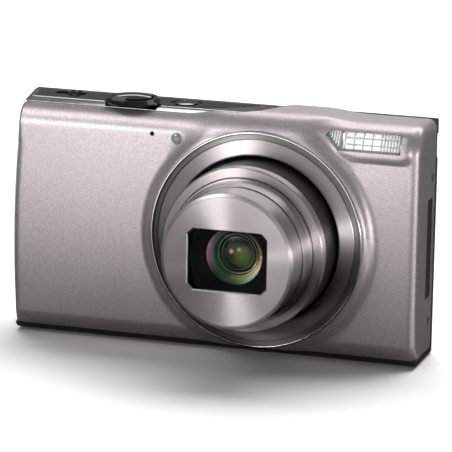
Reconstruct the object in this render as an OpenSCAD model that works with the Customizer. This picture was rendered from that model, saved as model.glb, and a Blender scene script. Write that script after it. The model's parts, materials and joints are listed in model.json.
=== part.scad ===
// Compact digital camera with a retracting twelve-times zoom lens.
// Origin: axis of the tripod socket, on the base. +X runs towards the flash end, -Y is the way
// the lens looks, +Z is up. The lens stands extended, as it does when the camera is switched on.

/* [Body] */
// Overall width of the body
body_w = 103.3; // [102:0.1:105]
// Overall height of the body without the zoom lever
body_h = 58; // [57:0.5:60]
// Thickness of the body without the lens ring
body_d = 20; // [19.8:0.1:20.6]
// Distance of the lens axis from the flash end of the body
lens_from_end = 38.9; // [38:0.1:40]
// Height of the lens axis above the base
lens_z = 29; // [28.8:0.1:29.4]
// Thickness of the outer covers
wall = 1.1; // [1:0.05:1.2]
// Width of the seams between the covers
seam = 0.1; // [0.08:0.01:0.15]
// Radius of the edge between the front and the top
front_top_r = 6.5; // [6:0.1:7]
// Radius of the edge between the front and the base
front_base_r = 6; // [5.6:0.1:6.4]
// Radius of the long edges at the back
rear_r = 3; // [2.5:0.1:3.2]
// Radius of the upright front edges
end_r = 1.6; // [1.4:0.1:2]
// Radius of the upper and lower edges at the flash end
edge_r = 1.3; // [1.2:0.1:1.6]
// Radius of the upper edge at the grip end
grip_top_r = 2.6; // [2.4:0.1:2.7]
// Radius of the lower edge at the grip end
grip_base_r = 1.4; // [1.3:0.1:1.6]

/* [Lens] */
// Outer radius of the raised ring around the lens
bezel_r = 26.2; // [26:0.05:26.4]
// How far that ring stands out of the front
bezel_out = 2.5; // [2.2:0.1:2.8]
// Radius of the outer moving barrel
outer_barrel_r = 19.8; // [19.6:0.05:19.85]
// Radius of the middle moving barrel
middle_barrel_r = 17.3; // [17.2:0.05:17.35]
// Radius of the front moving barrel
front_barrel_r = 16.1; // [16:0.05:16.12]
// How far each barrel stands ahead of the middle of the body, outer to front
barrel_front = [23, 27.4, 34.6]; // [20:0.1:36]
// Radius of the front glass
front_glass_r = 7.6; // [7.4:0.1:7.8]
// Width and height of the window in the front plate
window_size = [19.6, 14.9]; // [14:0.1:20]

/* [Controls] */
// Centre of the zoom lever and the shutter button
lever_at = [-34.2, -3.2]; // [-36:0.1:-2]
// Outer radius of the zoom lever
lever_r = 6.9; // [6.7:0.1:7]
// Centre of the power button
power_at = [-22.2, 1.6]; // [-24:0.1:3]
// Centre of the mode switch's slot
mode_at = [-52.1, 2.4]; // [-54:0.1:4]
// Length of that slot
mode_slot_l = 7.4; // [7:0.1:8]
// Width of that slot
mode_slot_w = 2.8; // [2.4:0.1:3]
// Centre of the four-way ring on the back, across and up
rocker_at = [-47.4, 24]; // [-50:0.1:26]
// Outer radius of the four-way ring
rocker_r = 8.4; // [8:0.1:8.6]

/* [Hidden] */
$fn = 96;
x_right = lens_from_end;
x_left = lens_from_end - body_w;
y_front = -body_d / 2;
y_back = body_d / 2;
bezel_h = body_d / 2 + bezel_out;       // front of the lens ring, ahead of the middle of the body
cover_split = 5.4;                      // where the front and rear covers meet
base_split = 2.4;                       // height of the seam between the front cover and the base
top_split = body_h - 1.7;               // underside of the top cover's edge
top_seam_y = -6.5;                      // front edge of the top cover
grip_at = [-61.4, -8.4];                // middle of the round on the grip end's front edge
grip_slant = 11;                        // how far the grip end sweeps outwards to the back
grip_bow_r = 288;                       // the grip end is bowed: radius, and height of its widest place
grip_bow_z = 24;
inner_left = -60.4;                     // where the pieces inside the grip end begin
slack = 0.15;                           // gap around a moving piece
lever_hub_r = 2.85;                     // hub of the zoom lever, which turns in the top cover
fit = 0.08;                             // radial gap of a running fit
far = 200;

// Lens drive: the toothed ring turns once for the barrels' whole stroke.
tooth_pitch = 0.5 * PI;
ring_teeth = 92;
pinion_teeth = 14;
ring_pitch_r = ring_teeth * tooth_pitch / (2 * PI);
pinion_pitch_r = pinion_teeth * tooth_pitch / (2 * PI);
pinion_angle = 140;
drive_distance = ring_pitch_r + pinion_pitch_r;
pinion_at = [drive_distance * cos(pinion_angle), drive_distance * sin(pinion_angle)];
tooth_band = [-4, -1.8];                // where the teeth lie along the lens axis

// Flash, battery, card and doors
flash_tube_r = 0.85;
battery_size = [34.6, 5.2, 40.2];
battery_at = [-59.9, -6.6, 2.7];
card_size = [24, 2.1, 32];
card_at = [-56.5, -0.2, 2.7];
door_y = [-6.9, 2.6];
door_hinge_x = -25.6;
door_hinge_z = 0.6;
door_slide = 2;                         // how far the door slides before it swings open
knuckle_r = 0.55;
side_door_y = [-0.8, 3.7];
side_door_z = [15.5, 39.5];

// Back panel
lcd_x = [-32.5, 35.5];
lcd_z = [5, 53];
movie_at = [-41.5, 47.2];
play_at = [-53.4, 38.2];
menu_at = [-41.4, 38.2];
rear_button_r = 2.5;
set_button_r = 3.5;
gimbal_y = 7.9;                         // depth of the four-way ring's two rocking axes
gimbal_pin_r = 0.25;

// Case screws, which run in through the ends: where each one enters the end face
case_screws_right = [[x_right, 3, 9.5], [x_right, 3, 44.5]];
case_screw_left = [x_left + 0.75, 3.4, 53.6];
screw_head_r = 1.1;
screw_shank_r = 0.6;

// ---- Shared shapes ----

// One square corner piece, less the round that replaces it.
module corner_cut(at, flip, r) {
    translate(at)
        mirror([flip.x, 0])
            mirror([0, flip.y])
                difference() {
                    translate([-1, -1]) square(r + 1);
                    translate([r, r]) circle(r);
                }
}

// A rectangle with its own radius at each corner, anticlockwise from low x, low y.
module rounded_rect(low, high, radii) {
    difference() {
        translate(low) square(high - low);
        corner_cut(low, [0, 0], radii[0]);
        corner_cut([high.x, low.y], [1, 0], radii[1]);
        corner_cut(high, [1, 1], radii[2]);
        corner_cut([low.x, high.y], [0, 1], radii[3]);
    }
}

// Extrudes an outline drawn in Y and Z along X.
module along_x(x0, x1) {
    translate([x0, 0, 0])
        rotate([90, 0, 90])
            linear_extrude(x1 - x0)
                children();
}

// Extrudes an outline drawn in X and Z from one depth to another.
module along_y(y0, y1) {
    translate([0, y1, 0])
        rotate([90, 0, 0])
            linear_extrude(y1 - y0)
                children();
}

// Places a piece on the lens axis. Its own +Z points forwards, out of the lens.
module on_lens_axis() {
    translate([0, 0, lens_z])
        rotate([90, 0, 0])
            children();
}

// A ring on the lens axis.
module ring(outer, inner, from, to) {
    translate([0, 0, from])
        difference() {
            cylinder(r = outer, h = to - from);
            translate([0, 0, -1]) cylinder(r = inner, h = to - from + 2);
        }
}

// A box between two opposite corners.
module block(low, high) {
    translate(low) cube(high - low);
}

// The body's section through Y and Z, pulled in by some amount.
module body_section(inset) {
    rounded_rect(
        [y_front + inset, inset], [y_back - inset, body_h - inset],
        [front_base_r - inset, rear_r - inset, rear_r - inset, front_top_r - inset]
    );
}

// The body's outline from above, pulled in by some amount.
module body_plan(inset) {
    rounded_rect(
        [x_left + inset, y_front + inset], [x_right - inset, y_back - inset],
        [0.01, end_r - inset / 2, rear_r - inset, rear_r - inset]
    );
}

// The body's outline from the front, pulled in by some amount.
module body_face(inset) {
    r = edge_r - inset;
    rounded_rect(
        [x_left + inset, inset], [x_right - inset, body_h - inset],
        [grip_base_r - inset, r, r, grip_top_r - inset]
    );
}

// One side of the grip end's trim: bowed from base to top, facing outwards at an angle.
module grip_side(angle, inset) {
    bow_r = grip_bow_r / cos(angle);
    translate([grip_at.x, grip_at.y, grip_bow_z])
        rotate([0, 0, angle])
            translate([bow_r - end_r, far, 0])
                rotate([90, 0, 0])
                    cylinder(r = bow_r - inset, h = 2 * far, $fn = 1440);
}

// Trims the grip end: swept outwards to the back, with a rounded front edge.
module grip_trim(inset) {
    intersection() {
        grip_side(grip_slant, inset);
        grip_side(37, inset);
        grip_side(63, inset);
    }
}

// How far the bow sets the grip end back at a height, from the middle of its front round.
function bow_at(z) = (z - grip_bow_z) * (z - grip_bow_z) / (2 * grip_bow_r) - end_r;

// What comes off the grip end's upper and lower edges, along its sweep.
module grip_edges(inset) {
    base_at = [bow_at(grip_base_r) + inset, inset];
    top_at = [bow_at(body_h - grip_top_r) + inset, body_h - inset];
    translate([grip_at.x, grip_at.y, 0])
        rotate([0, 0, grip_slant])
            along_y(-far, far) {
                corner_cut(base_at, [0, 0], grip_base_r - inset);
                corner_cut(top_at, [0, 1], grip_top_r - inset);
            }
}

// The whole body as a solid, pulled in by some amount, or swollen where it is negative.
module body_solid(inset) {
    difference() {
        intersection() {
            along_x(x_left - 5, x_right + 5) body_section(inset);
            translate([0, 0, -5]) linear_extrude(body_h + 10) body_plan(inset);
            along_y(y_front - 5, y_back + 5) body_face(inset);
            grip_trim(inset);
        }
        grip_edges(inset);
    }
}

module body_shell() {
    difference() {
        body_solid(0);
        body_solid(wall);
    }
}

// ---- Covers ----

// The top cover seen from above: straight along the front, slanting to the back over the lens.
module top_outline(gap) {
    polygon([
        [x_left - 1, top_seam_y + gap],
        [-6 - gap, top_seam_y + gap],
        [-1.2 - gap, -4.3],
        [4.4 - gap, cover_split - gap],
        [x_left - 1, cover_split - gap]
    ]);
}

module top_block(gap, from) {
    translate([0, 0, from])
        linear_extrude(body_h - from + 1)
            top_outline(gap);
}

// The raised collar that runs from the front face up to the lens ring.
module collar() {
    collar_r = 29.4;
    rise = bezel_out - 0.3;
    run = collar_r - bezel_r;
    fillet = (run * run + rise * rise) / (2 * rise);
    intersection() {
        on_lens_axis()
            rotate_extrude()
                difference() {
                    translate([bezel_r - 1, 3]) square([run + 1, body_d / 2 - 3 + rise]);
                    translate([collar_r, body_d / 2 + fillet]) circle(fillet);
                }
        along_x(-far, far)
            rounded_rect(
                [y_front - bezel_out, 0.6], [y_back, body_h - 0.35], [front_base_r + 1, 1, 1, 8]
            );
    }
}

// The outline of the flash window, pulled in by a gap.
module flash_outline(gap) {
    union() {
        rounded_rect([19.3, 52 + gap], [34.3 - gap, 56.5 - gap], [0.01, 1.1, 1.1, 0.01]);
        polygon([
            [19.4, 52 + gap], [19.4, 56.5 - gap], [17 + gap, 56.5 - gap], [15.8 + gap * 1.5, 55.3],
            [19.1 + gap * 0.5, 52 + gap]
        ]);
    }
}

module flash_plateau() {
    difference() {
        intersection() {
            body_solid(-0.4);
            along_y(-far, 0) rounded_rect([13, 50.5], [36.4, 57.3], [3, 1.4, 1.4, 3]);
        }
        body_solid(wall);
    }
}

module front_cover() {
    lamp_seat_r = 1.4;
    mic_hole_r = 0.55;
    color("rosybrown")
    difference() {
        union() {
            difference() {
                body_shell();
                block([-far, cover_split, -far], [far, far, far]);
                block([-far, -far, -far], [far, far, base_split]);
                top_block(-seam, top_split - seam);
            }
            difference() {
                collar();
                body_solid(wall);
                block([-far, -far, -far], [far, far, base_split]);
                top_block(-seam, top_split - seam);
            }
            flash_plateau();
        }
        on_lens_axis() translate([0, 0, -1]) cylinder(r = bezel_r + 0.06, h = 20);
        along_y(-far, 0) flash_outline(0);
        translate([-20.7, y_front - 2, 51.6]) rotate([-90, 0, 0]) cylinder(r = lamp_seat_r, h = 6);
        translate([-26.9, y_front - 2, 52.3]) rotate([-90, 0, 0]) cylinder(r = mic_hole_r, h = 6);
        block([x_right - 4, side_door_y[0] - slack, side_door_z[0] - slack],
              [x_right + 4, side_door_y[1] + slack + 0.05, side_door_z[1] + slack]);
        for (dz = [-3, 0, 3])
            translate([x_left - 1, -3, 48 + dz]) rotate([0, 90, 0]) cylinder(r = 0.6, h = 4);
        at_case_screws() {
            translate([0, 0, -0.6]) cylinder(r = screw_head_r + 0.1, h = 3);
            translate([0, 0, -2]) cylinder(r = screw_shank_r + 0.15, h = 3);
        }
    }
}

// Places a piece on every case screw. Its own +Z points out of the body's end.
module at_case_screws() {
    for (place = case_screws_right)
        translate(place) rotate([0, 90, 0]) children();
    translate(case_screw_left) rotate([0, -90, 0]) children();
}

// Tabs of the rear cover that reach forward inside the end walls and take the case screws.
module screw_tabs() {
    difference() {
        union() {
            for (place = case_screws_right) {
                block(place - [2.8, 1.6, 2.5], place + [-1.2, 4, 2.5]);
                block(place + [-2.8, cover_split + seam - place.y, -2.5], place + [-0.9, 4, 2.5]);
            }
            block(case_screw_left + [1.6, -1.1, -1.1], case_screw_left + [3.2, 3.6, 1.1]);
            block(case_screw_left + [0, cover_split + seam - case_screw_left.y, -1.1],
                  case_screw_left + [3.2, 3.6, 1.1]);
        }
        at_case_screws() translate([0, 0, -4]) cylinder(r = screw_shank_r + 0.05, h = 4);
    }
}

module rear_cover() {
    color("dimgray")
    difference() {
        union() {
            difference() {
                body_shell();
                block([-far, -far, -far], [far, cover_split + seam, far]);
            }
            screw_tabs();
        }
        along_y(cover_split, far)
            rounded_rect([lcd_x[0], lcd_z[0]], [lcd_x[1], lcd_z[1]], [1.2, 1.2, 1.2, 1.2]);
        translate([rocker_at.x, cover_split + 2, rocker_at.y])
            rotate([-90, 0, 0])
                cylinder(r = rocker_r + 0.35, h = 20);
        for (place = [movie_at, play_at, menu_at])
            translate([place.x, cover_split + 2, place.y])
                rotate([-90, 0, 0])
                    cylinder(r = rear_button_r + slack, h = 20);
        strap_recess();
    }
}

// The pocket at the flash end's upper back corner in which the strap bar stands.
module strap_recess() {
    block([x_right - 2.6, cover_split + 1, 48.4], [x_right + 3, y_back + 3, 54.4]);
}

module strap_lug() {
    bar_r = 0.75;
    bar_x = x_right - 1.25;
    bar_y = y_back - 2.05;
    color("silver")
    union() {
        translate([bar_x, bar_y, 48.5]) cylinder(r = bar_r, h = 5.8);
        block([x_right - 2.5, cover_split + 1.1, 48.5], [x_right - 2.1, y_back - 0.9, 54.3]);
        for (z = [48.5, 53.7])
            block([x_right - 2.3, bar_y - 0.75, z], [bar_x, bar_y + 0.75, z + 0.6]);
    }
}

module top_cover() {
    color("silver")
    difference() {
        intersection() {
            body_shell();
            top_block(seam / 2, top_split);
        }
        translate([0, 0, body_h - 0.5]) linear_extrude(2) inset_outline(0);
        lever_hole();
        translate([power_at.x, power_at.y, body_h - 3]) cylinder(r = 2.8 + slack, h = 6);
        mode_slot();
    }
}

module lever_hole() {
    translate([lever_at.x, lever_at.y, body_h - 3]) cylinder(r = lever_hub_r + slack, h = 6);
}

module mode_slot() {
    translate([mode_at.x, mode_at.y, body_h])
        cube([mode_slot_l, mode_slot_w, 6], center = true);
}

// The glossy plate let into the top cover: it tapers to a point beyond the power button.
module inset_outline(gap) {
    polygon([
        [x_left + 3.3 + gap, cover_split - 0.4 - gap],
        [-59.6 + gap, -1.8],
        [-58.2, -3.4 + gap],
        [-23.5, -3.8 + gap],
        [-15, -2.6 + gap],
        [-4.5 - gap * 2, cover_split - 0.4 - gap]
    ]);
}

module top_inset() {
    recess_r = 3.8;
    color([0.08, 0.08, 0.09])
    difference() {
        translate([0, 0, body_h - 0.45]) linear_extrude(0.5) inset_outline(0.05);
        lever_hole();
        translate([power_at.x, power_at.y, body_h - 3]) cylinder(r = 2.8 + slack, h = 6);
        translate([power_at.x, power_at.y, body_h - 0.15]) cylinder(r = recess_r, h = 1);
        mode_slot();
    }
}

// The part of the base that the battery door takes up.
module door_block(gap) {
    block([x_left - 3, door_y[0] + gap, -1], [door_hinge_x + knuckle_r + 0.3 - gap, door_y[1] - gap,
          base_split - gap]);
}

module bottom_cover() {
    socket_r = 5;
    color([0.16, 0.15, 0.16])
    difference() {
        union() {
            intersection() {
                body_shell();
                block([-far, -far, -1], [far, cover_split, base_split - seam]);
            }
            intersection() {
                translate([0, 0, 0.2]) cylinder(r = 6.2, h = 1.6);
                block([-far, -far, 0], [far, cover_split, 5]);
            }
        }
        door_block(0);
        translate([0, 0, -1]) cylinder(r = socket_r + 0.05, h = 4);
        block([door_hinge_x - door_slide - 0.35, 0, door_hinge_z - 0.3],
              [door_hinge_x + 0.35, door_y[1] + 0.8, door_hinge_z + 0.3]);
    }
}

module battery_door() {
    rib_h = 0.5;
    color([0.2, 0.19, 0.2])
    difference() {
        union() {
            intersection() {
                body_shell();
                door_block(0.12);
                block([-far, -far, -1], [door_hinge_x, far, far]);
            }
            translate([door_hinge_x, -3.8, door_hinge_z])
                rotate([-90, 0, 0])
                    cylinder(r = knuckle_r, h = 6);
            for (y = [-5, -1.6, 1.4])
                block([inner_left + 2.6, y - 0.3, wall - 0.1], [door_hinge_x - 4, y + 0.3, wall + rib_h]);
        }
        translate([door_hinge_x, -5, door_hinge_z])
            rotate([-90, 0, 0])
                cylinder(r = 0.3, h = 9);
    }
}

module door_hinge_pin() {
    color("silver")
    translate([door_hinge_x, -4.6, door_hinge_z])
        rotate([-90, 0, 0])
            cylinder(r = 0.25, h = 4.6 + door_y[1] + 0.6, $fn = 32);
}

// The tab that holds the battery in.
module battery_latch() {
    color("orange")
    union() {
        block([-59.6, -1.15, 1.75], [-57, -0.6, 5.6]);
        block([-59.6, -2.1, 1.75], [-57, -0.6, 2.4]);
    }
}

module terminal_cover() {
    axis_x = x_right - 0.6;
    axis_y = side_door_y[1] - 0.55;
    color("dimgray")
    union() {
        block([x_right - 1.1, side_door_y[0], side_door_z[0]], [x_right, axis_y, side_door_z[1]]);
        translate([axis_x + 0.05, axis_y, side_door_z[0]])
            cylinder(r = 0.55, h = side_door_z[1] - side_door_z[0]);
        for (z = [22.5, 33])
            block([x_right - 2, 0.6, z - 2.4], [x_right - 1, 2.6, z + 2.4]);
    }
}

module lens_bezel() {
    groove = 0.6;
    color("silver")
    on_lens_axis()
        rotate_extrude()
            union() {
                translate([bezel_r - 0.6, 8.4]) square([0.6, bezel_h - 8.4 - 0.3]);
                translate([bezel_r - 0.3, bezel_h - 0.3]) circle(0.3, $fn = 48);
                translate([24.4, 8.4]) square([1.4, bezel_h - groove - 8.4]);
            }
}

module lens_ring() {
    inner_r = outer_barrel_r + 0.9;
    color("gainsboro")
    on_lens_axis()
        rotate_extrude()
            polygon([
                [22.6, 8.4], [24.35, 8.4], [24.35, bezel_h - 0.45], [24.1, bezel_h - 0.3],
                [inner_r + 0.3, bezel_h + 0.45], [inner_r, bezel_h + 0.3], [inner_r, bezel_h - 0.6],
                [22.6, bezel_h - 1.2]
            ]);
}

module case_screws() {
    color("silver")
    at_case_screws()
        difference() {
            union() {
                translate([0, 0, -0.55]) cylinder(r = screw_head_r, h = 0.45);
                translate([0, 0, -2.9]) cylinder(r = screw_shank_r, h = 2.5);
            }
            for (turn = [0, 90])
                rotate(turn) translate([-0.7, -0.14, -0.3]) cube([1.4, 0.28, 1]);
        }
}

module tripod_socket() {
    thread_r = 3.2;
    depth = 5;
    color("silver")
    difference() {
        union() {
            cylinder(r = 5, h = 0.6);
            cylinder(r = 4.4, h = depth);
        }
        translate([0, 0, -1]) cylinder(r = thread_r, h = depth + 2);
    }
}

// ---- Flash, lamp and microphone ----

module flash_window() {
    color([0.95, 0.96, 1, 0.6])
    difference() {
        intersection() {
            body_solid(-0.35);
            along_y(-far, 0) flash_outline(0.06);
        }
        body_solid(wall - 0.2);
    }
}

module flash_reflector() {
    color("silver")
    difference() {
        block([19.5, -7.3, 51.6], [33.8, -2.6, 55.6]);
        translate([20.1, -8, 53.6])
            rotate([0, 90, 0])
                linear_extrude(13.1)
                    polygon([[-1.8, 0], [1.8, 0], [1.3, 3.4], [0.9, 4.6], [-0.9, 4.6], [-1.3, 3.4]]);
        flash_tube_axis() translate([0, 0, -1]) cylinder(r = flash_tube_r + 0.1, h = 20);
    }
}

module flash_tube_axis() {
    translate([18.4, -4.7, 53.6])
        rotate([0, 90, 0])
            children();
}

module flash_tube() {
    color([0.9, 0.95, 1, 0.5])
    flash_tube_axis() cylinder(r = flash_tube_r, h = 16.4, $fn = 48);
}

module af_lamp_window() {
    dome = 4;
    color("lightgray")
    translate([-20.7, 0, 51.6])
        rotate([90, 0, 0])
            intersection() {
                translate([0, 0, 6]) cylinder(r = 1.32, h = 8);
                translate([0, 0, body_d / 2 + 0.45 - dome]) sphere(dome);
                translate([-3, -3, 7.6]) cube([6, 6, 6]);
            }
}

module microphone() {
    color("dimgray")
    translate([-26.9, -4.9, 52.3])
        rotate([90, 0, 0])
            difference() {
                cylinder(r = 1.7, h = 3.2);
                translate([0, 0, 2.6]) cylinder(r = 0.4, h = 1);
            }
}

module speaker() {
    color([0.2, 0.2, 0.2])
    difference() {
        block([inner_left + 0.3, -6.4, 44.4], [inner_left + 2.9, 0.4, 52.6]);
        block([inner_left - 1, -5.4, 45.3], [inner_left + 1, -0.6, 51.8]);
    }
}

// ---- Back panel, boards and power ----

module lcd_window() {
    color([0.05, 0.05, 0.06])
    along_y(y_back - wall + 0.15, y_back - 0.08)
        rounded_rect(
            [lcd_x[0] + 0.08, lcd_z[0] + 0.08], [lcd_x[1] - 0.08, lcd_z[1] - 0.08], [1.1, 1.1, 1.1, 1.1]
        );
}

module lcd_panel() {
    color([0.12, 0.13, 0.16])
    union() {
        block([lcd_x[0] + 0.8, 7.2, lcd_z[0] + 0.6], [lcd_x[1] - 0.8, y_back - wall, lcd_z[1] - 0.8]);
        block([-4, 6.9, 50.5], [12, 7.3, 54.5]);
    }
}

// The frame that holds the battery and the card, open at the base.
module chassis() {
    color([0.25, 0.25, 0.27])
    difference() {
        block([inner_left, -7.3, 3.2], [-24.7, 2.5, 44.2]);
        block(battery_at - [0.15, 0.15, 3], battery_at + battery_size + [0.15, 0.15, 0.3]);
        block(card_at - [0.15, 0.15, 3], card_at + card_size + [0.15, 0.15, 1.4]);
        block([-59.8, -1.5, 0], [-56.8, 0.6, 7.5]);
        block([-46, -8, 12], [-36, -6.9, 36]);
    }
}

module battery() {
    color([0.22, 0.24, 0.28])
    difference() {
        block(battery_at, battery_at + battery_size);
        for (k = [0:2])
            translate(battery_at + [3 + 4 * k, 1.4, battery_size.z - 0.4]) cube([2.4, 2.4, 2]);
    }
}

module memory_card() {
    notch = 3;
    color([0.1, 0.2, 0.35])
    translate([card_at.x, card_at.y + card_size.y, card_at.z])
        rotate([90, 0, 0])
            linear_extrude(card_size.y)
                polygon([
                    [0, 0], [card_size.x, 0], [card_size.x, card_size.z - notch],
                    [card_size.x - notch, card_size.z], [0, card_size.z]
                ]);
}

// Spring-loaded stop and contacts above the card.
module card_slot() {
    color("goldenrod")
    union() {
        block([card_at.x, card_at.y, 35.85], [card_at.x + card_size.x, card_at.y + 1.4, 36.05]);
        for (k = [0:8])
            block([card_at.x + 1.2 + 2.5 * k, card_at.y + 0.1, 35.65],
                  [card_at.x + 2.2 + 2.5 * k, card_at.y + 0.5, 36]);
    }
}

module main_board() {
    color("darkgreen")
    union() {
        block([inner_left + 0.2, 2.9, 6], [-24.9, 3.7, 53.5]);
        block([-52, 3.6, 30], [-40, 4.9, 42]);
        block([-38, 3.6, 12], [-30, 4.6, 20]);
        block([-36, 3.6, 40], [-28, 4.4, 46]);
    }
}

// Board behind the buttons, with one snap dome under each.
module control_board() {
    color("olivedrab")
    union() {
        block([inner_left + 0.3, 5.9, 10], [-33.6, 6.5, 52]);
        for (place = [movie_at, play_at, menu_at, rocker_at])
            translate([place.x, 6.4, place.y])
                rotate([-90, 0, 0])
                    cylinder(r1 = 1.6, r2 = 1.2, h = 0.5);
        for (side = [-1, 1])
            translate([rocker_at.x, 6.4, rocker_at.y + 6.2 * side]) gimbal_fork();
    }
}

// One of the two bearings that the gimbal's upright pins turn in.
module gimbal_fork() {
    difference() {
        translate([-0.7, 0, -0.3]) cube([1.4, gimbal_y - 5.8, 0.6]);
        translate([0, gimbal_y - 6.4, -1]) cylinder(r = gimbal_pin_r + 0.05, h = 2);
    }
}

module flash_capacitor() {
    color([0.15, 0.15, 0.2])
    translate([30.2, -4.6, 7.5]) cylinder(r = 4, h = 34);
}

module terminal_sockets() {
    color("silver")
    for (z = [22.5, 33])
        difference() {
            block([x_right - 8, -0.2, z - 3.6], [x_right - 2.1, 3.2, z + 3.6]);
            block([x_right - 6, 0.2, z - 3.2], [x_right, 2.8, z + 3.2]);
        }
}

// ---- Lens: fixed pieces ----

module lens_mount() {
    color([0.14, 0.14, 0.15])
    on_lens_axis()
        difference() {
            translate([-22.4, -22.4, -6]) cube([44.8, 46, 1.3]);
            translate([-6.2, -5, -7]) cube([12.4, 10, 4]);
            for (sx = [-1, 1])
                for (sy = [-1, 1])
                    translate([20.4 * sx, 20.4 * sy, -7]) cylinder(r = 0.9, h = 4);
        }
}

module fixed_barrel() {
    color([0.1, 0.1, 0.11])
    on_lens_axis()
        union() {
            ring(21.2, outer_barrel_r + 0.33, -4.6, bezel_h - 0.9);
            ring(22.3, outer_barrel_r + 0.33, 10.4, bezel_h - 1.3);
        }
}

module image_sensor() {
    color("darkslategray")
    on_lens_axis()
        union() {
            translate([-6, -4.8, -5.2]) cube([12, 9.6, 1.3]);
            translate([-4.4, -3.6, -4]) cube([8.8, 7.2, 0.6]);
            translate([-10, -8, -6.8]) cube([20, 16, 0.7]);
            translate([-5.8, -4.6, -6.2]) cube([11.6, 9.2, 1.2]);
        }
}

// Drive motor, with the shaft that the pinion turns on.
module zoom_motor() {
    color("silver")
    on_lens_axis()
        translate([pinion_at.x, pinion_at.y, 0])
            union() {
                translate([0, 0, -1.2]) cylinder(r = 3.4, h = 8.6);
                translate([0, 0, -4.5]) cylinder(r = 0.5, h = 4);
            }
}

// ---- Lens: moving pieces ----

// The outline of a toothed wheel with straight-sided teeth.
module toothed_disc(teeth, pitch_r) {
    root_r = pitch_r - 0.42;
    tip_r = pitch_r + 0.34;
    step = 360 / teeth;
    union() {
        circle(root_r);
        for (k = [0:teeth - 1])
            rotate(k * step)
                polygon([
                    [root_r - 0.2, -0.36], [tip_r, -0.15], [tip_r, 0.15], [root_r - 0.2, 0.36]
                ]);
    }
}

module cam_ring() {
    inner_r = 21.2 + fit;
    color([0.35, 0.35, 0.38])
    on_lens_axis()
        difference() {
            union() {
                translate([0, 0, tooth_band[0]]) cylinder(r = 22.1, h = 14);
                translate([0, 0, tooth_band[0]])
                    linear_extrude(tooth_band[1] - tooth_band[0])
                        rotate(pinion_angle)
                            toothed_disc(ring_teeth, ring_pitch_r);
            }
            translate([0, 0, -8]) cylinder(r = inner_r, h = 30);
        }
}

module zoom_pinion() {
    color("goldenrod")
    on_lens_axis()
        translate([pinion_at.x, pinion_at.y, tooth_band[0] + 0.1])
            difference() {
                linear_extrude(tooth_band[1] - tooth_band[0] - 0.2)
                    rotate(pinion_angle + 180 + 180 / pinion_teeth)
                        toothed_disc(pinion_teeth, pinion_pitch_r);
                translate([0, 0, -1]) cylinder(r = 0.5 + fit, h = 6);
            }
}

module barrel_outer() {
    front = barrel_front[0] - 2.6;
    rear = 7;
    color([0.2, 0.19, 0.2])
    on_lens_axis()
        union() {
            ring(outer_barrel_r, outer_barrel_r - 0.9, rear, front);
            ring(outer_barrel_r + 0.25, outer_barrel_r - 0.9, rear, rear + 1.6);
        }
}

module barrel_outer_trim() {
    inner_r = middle_barrel_r + 0.2;
    front = barrel_front[0];
    edge = 0.5;
    color("silver")
    on_lens_axis()
        rotate_extrude()
            union() {
                translate([outer_barrel_r - 1, front - 2.6]) square([1, 2.6 - edge]);
                translate([inner_r, front - 0.9]) square([outer_barrel_r - inner_r - edge, 0.9]);
                translate([outer_barrel_r - edge, front - edge]) circle(edge, $fn = 48);
                translate([outer_barrel_r - 1, front - 0.9]) square([1, 0.9 - edge]);
            }
}

module barrel_middle() {
    lip_r = 16.9;
    front = barrel_front[1];
    rear = 12;
    wall_front = front - 3.4;
    color([0.55, 0.52, 0.53])
    on_lens_axis()
        union() {
            ring(middle_barrel_r, middle_barrel_r - 0.8, rear, wall_front);
            ring(outer_barrel_r - 1, middle_barrel_r - 0.8, rear, rear + 1.4);
            rotate_extrude()
                difference() {
                    translate([front_barrel_r + 0.15, wall_front - 0.6]) square([0.8, 4]);
                    translate([lip_r, wall_front])
                        polygon([[0, 0], [0, 5], [-0.55, 5], [-0.5, 3.4], [-0.28, 2.7], [-0.1, 1.6]]);
                }
        }
}

module barrel_front_tube() {
    front = barrel_front[2] - 1.3;
    rear = 20;
    color([0.6, 0.57, 0.58])
    on_lens_axis()
        union() {
            ring(front_barrel_r, front_barrel_r - 0.9, rear, front);
            ring(front_barrel_r + 0.27, front_barrel_r - 0.9, rear, rear + 0.9);
        }
}

// A rectangle with its corners cut off.
module cut_rect(size, cut) {
    a = size.x / 2;
    b = size.y / 2;
    polygon([
        [-a + cut, -b], [a - cut, -b], [a, -b + cut], [a, b - cut],
        [a - cut, b], [-a + cut, b], [-a, b - cut], [-a, -b + cut]
    ]);
}

module front_plate() {
    front = barrel_front[2];
    step_r = front_barrel_r - 0.85;
    color("gainsboro")
    on_lens_axis()
        difference() {
            rotate_extrude()
                polygon([
                    [0, front - 1.2], [front_barrel_r, front - 1.2], [front_barrel_r, front - 0.55],
                    [front_barrel_r - 0.1, front - 0.35], [step_r + 0.12, front - 0.12],
                    [step_r, front - 0.12], [step_r - 0.1, front], [0, front]
                ]);
            translate([0, 0, front - 3]) linear_extrude(6) cut_rect(window_size, 1.5);
        }
}

// Black hood between the front plate and the front glass: it also carries the blades.
module lens_hood() {
    front = barrel_front[2];
    glass_front = front - 5.6;
    color([0.04, 0.04, 0.05])
    on_lens_axis()
        difference() {
            union() {
                ring(15.1, 5, glass_front - 4.4, front - 2.6);
                ring(15.1, 14.95, front - 2.7, front - 1.3);
            }
            translate([0, 0, glass_front - 0.6])
                cylinder(r1 = front_glass_r - 0.9, r2 = 10.2, h = 4.2);
            translate([0, 0, glass_front - 3.4]) cylinder(r = front_glass_r + 0.02, h = 2.9);
        }
}

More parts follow.
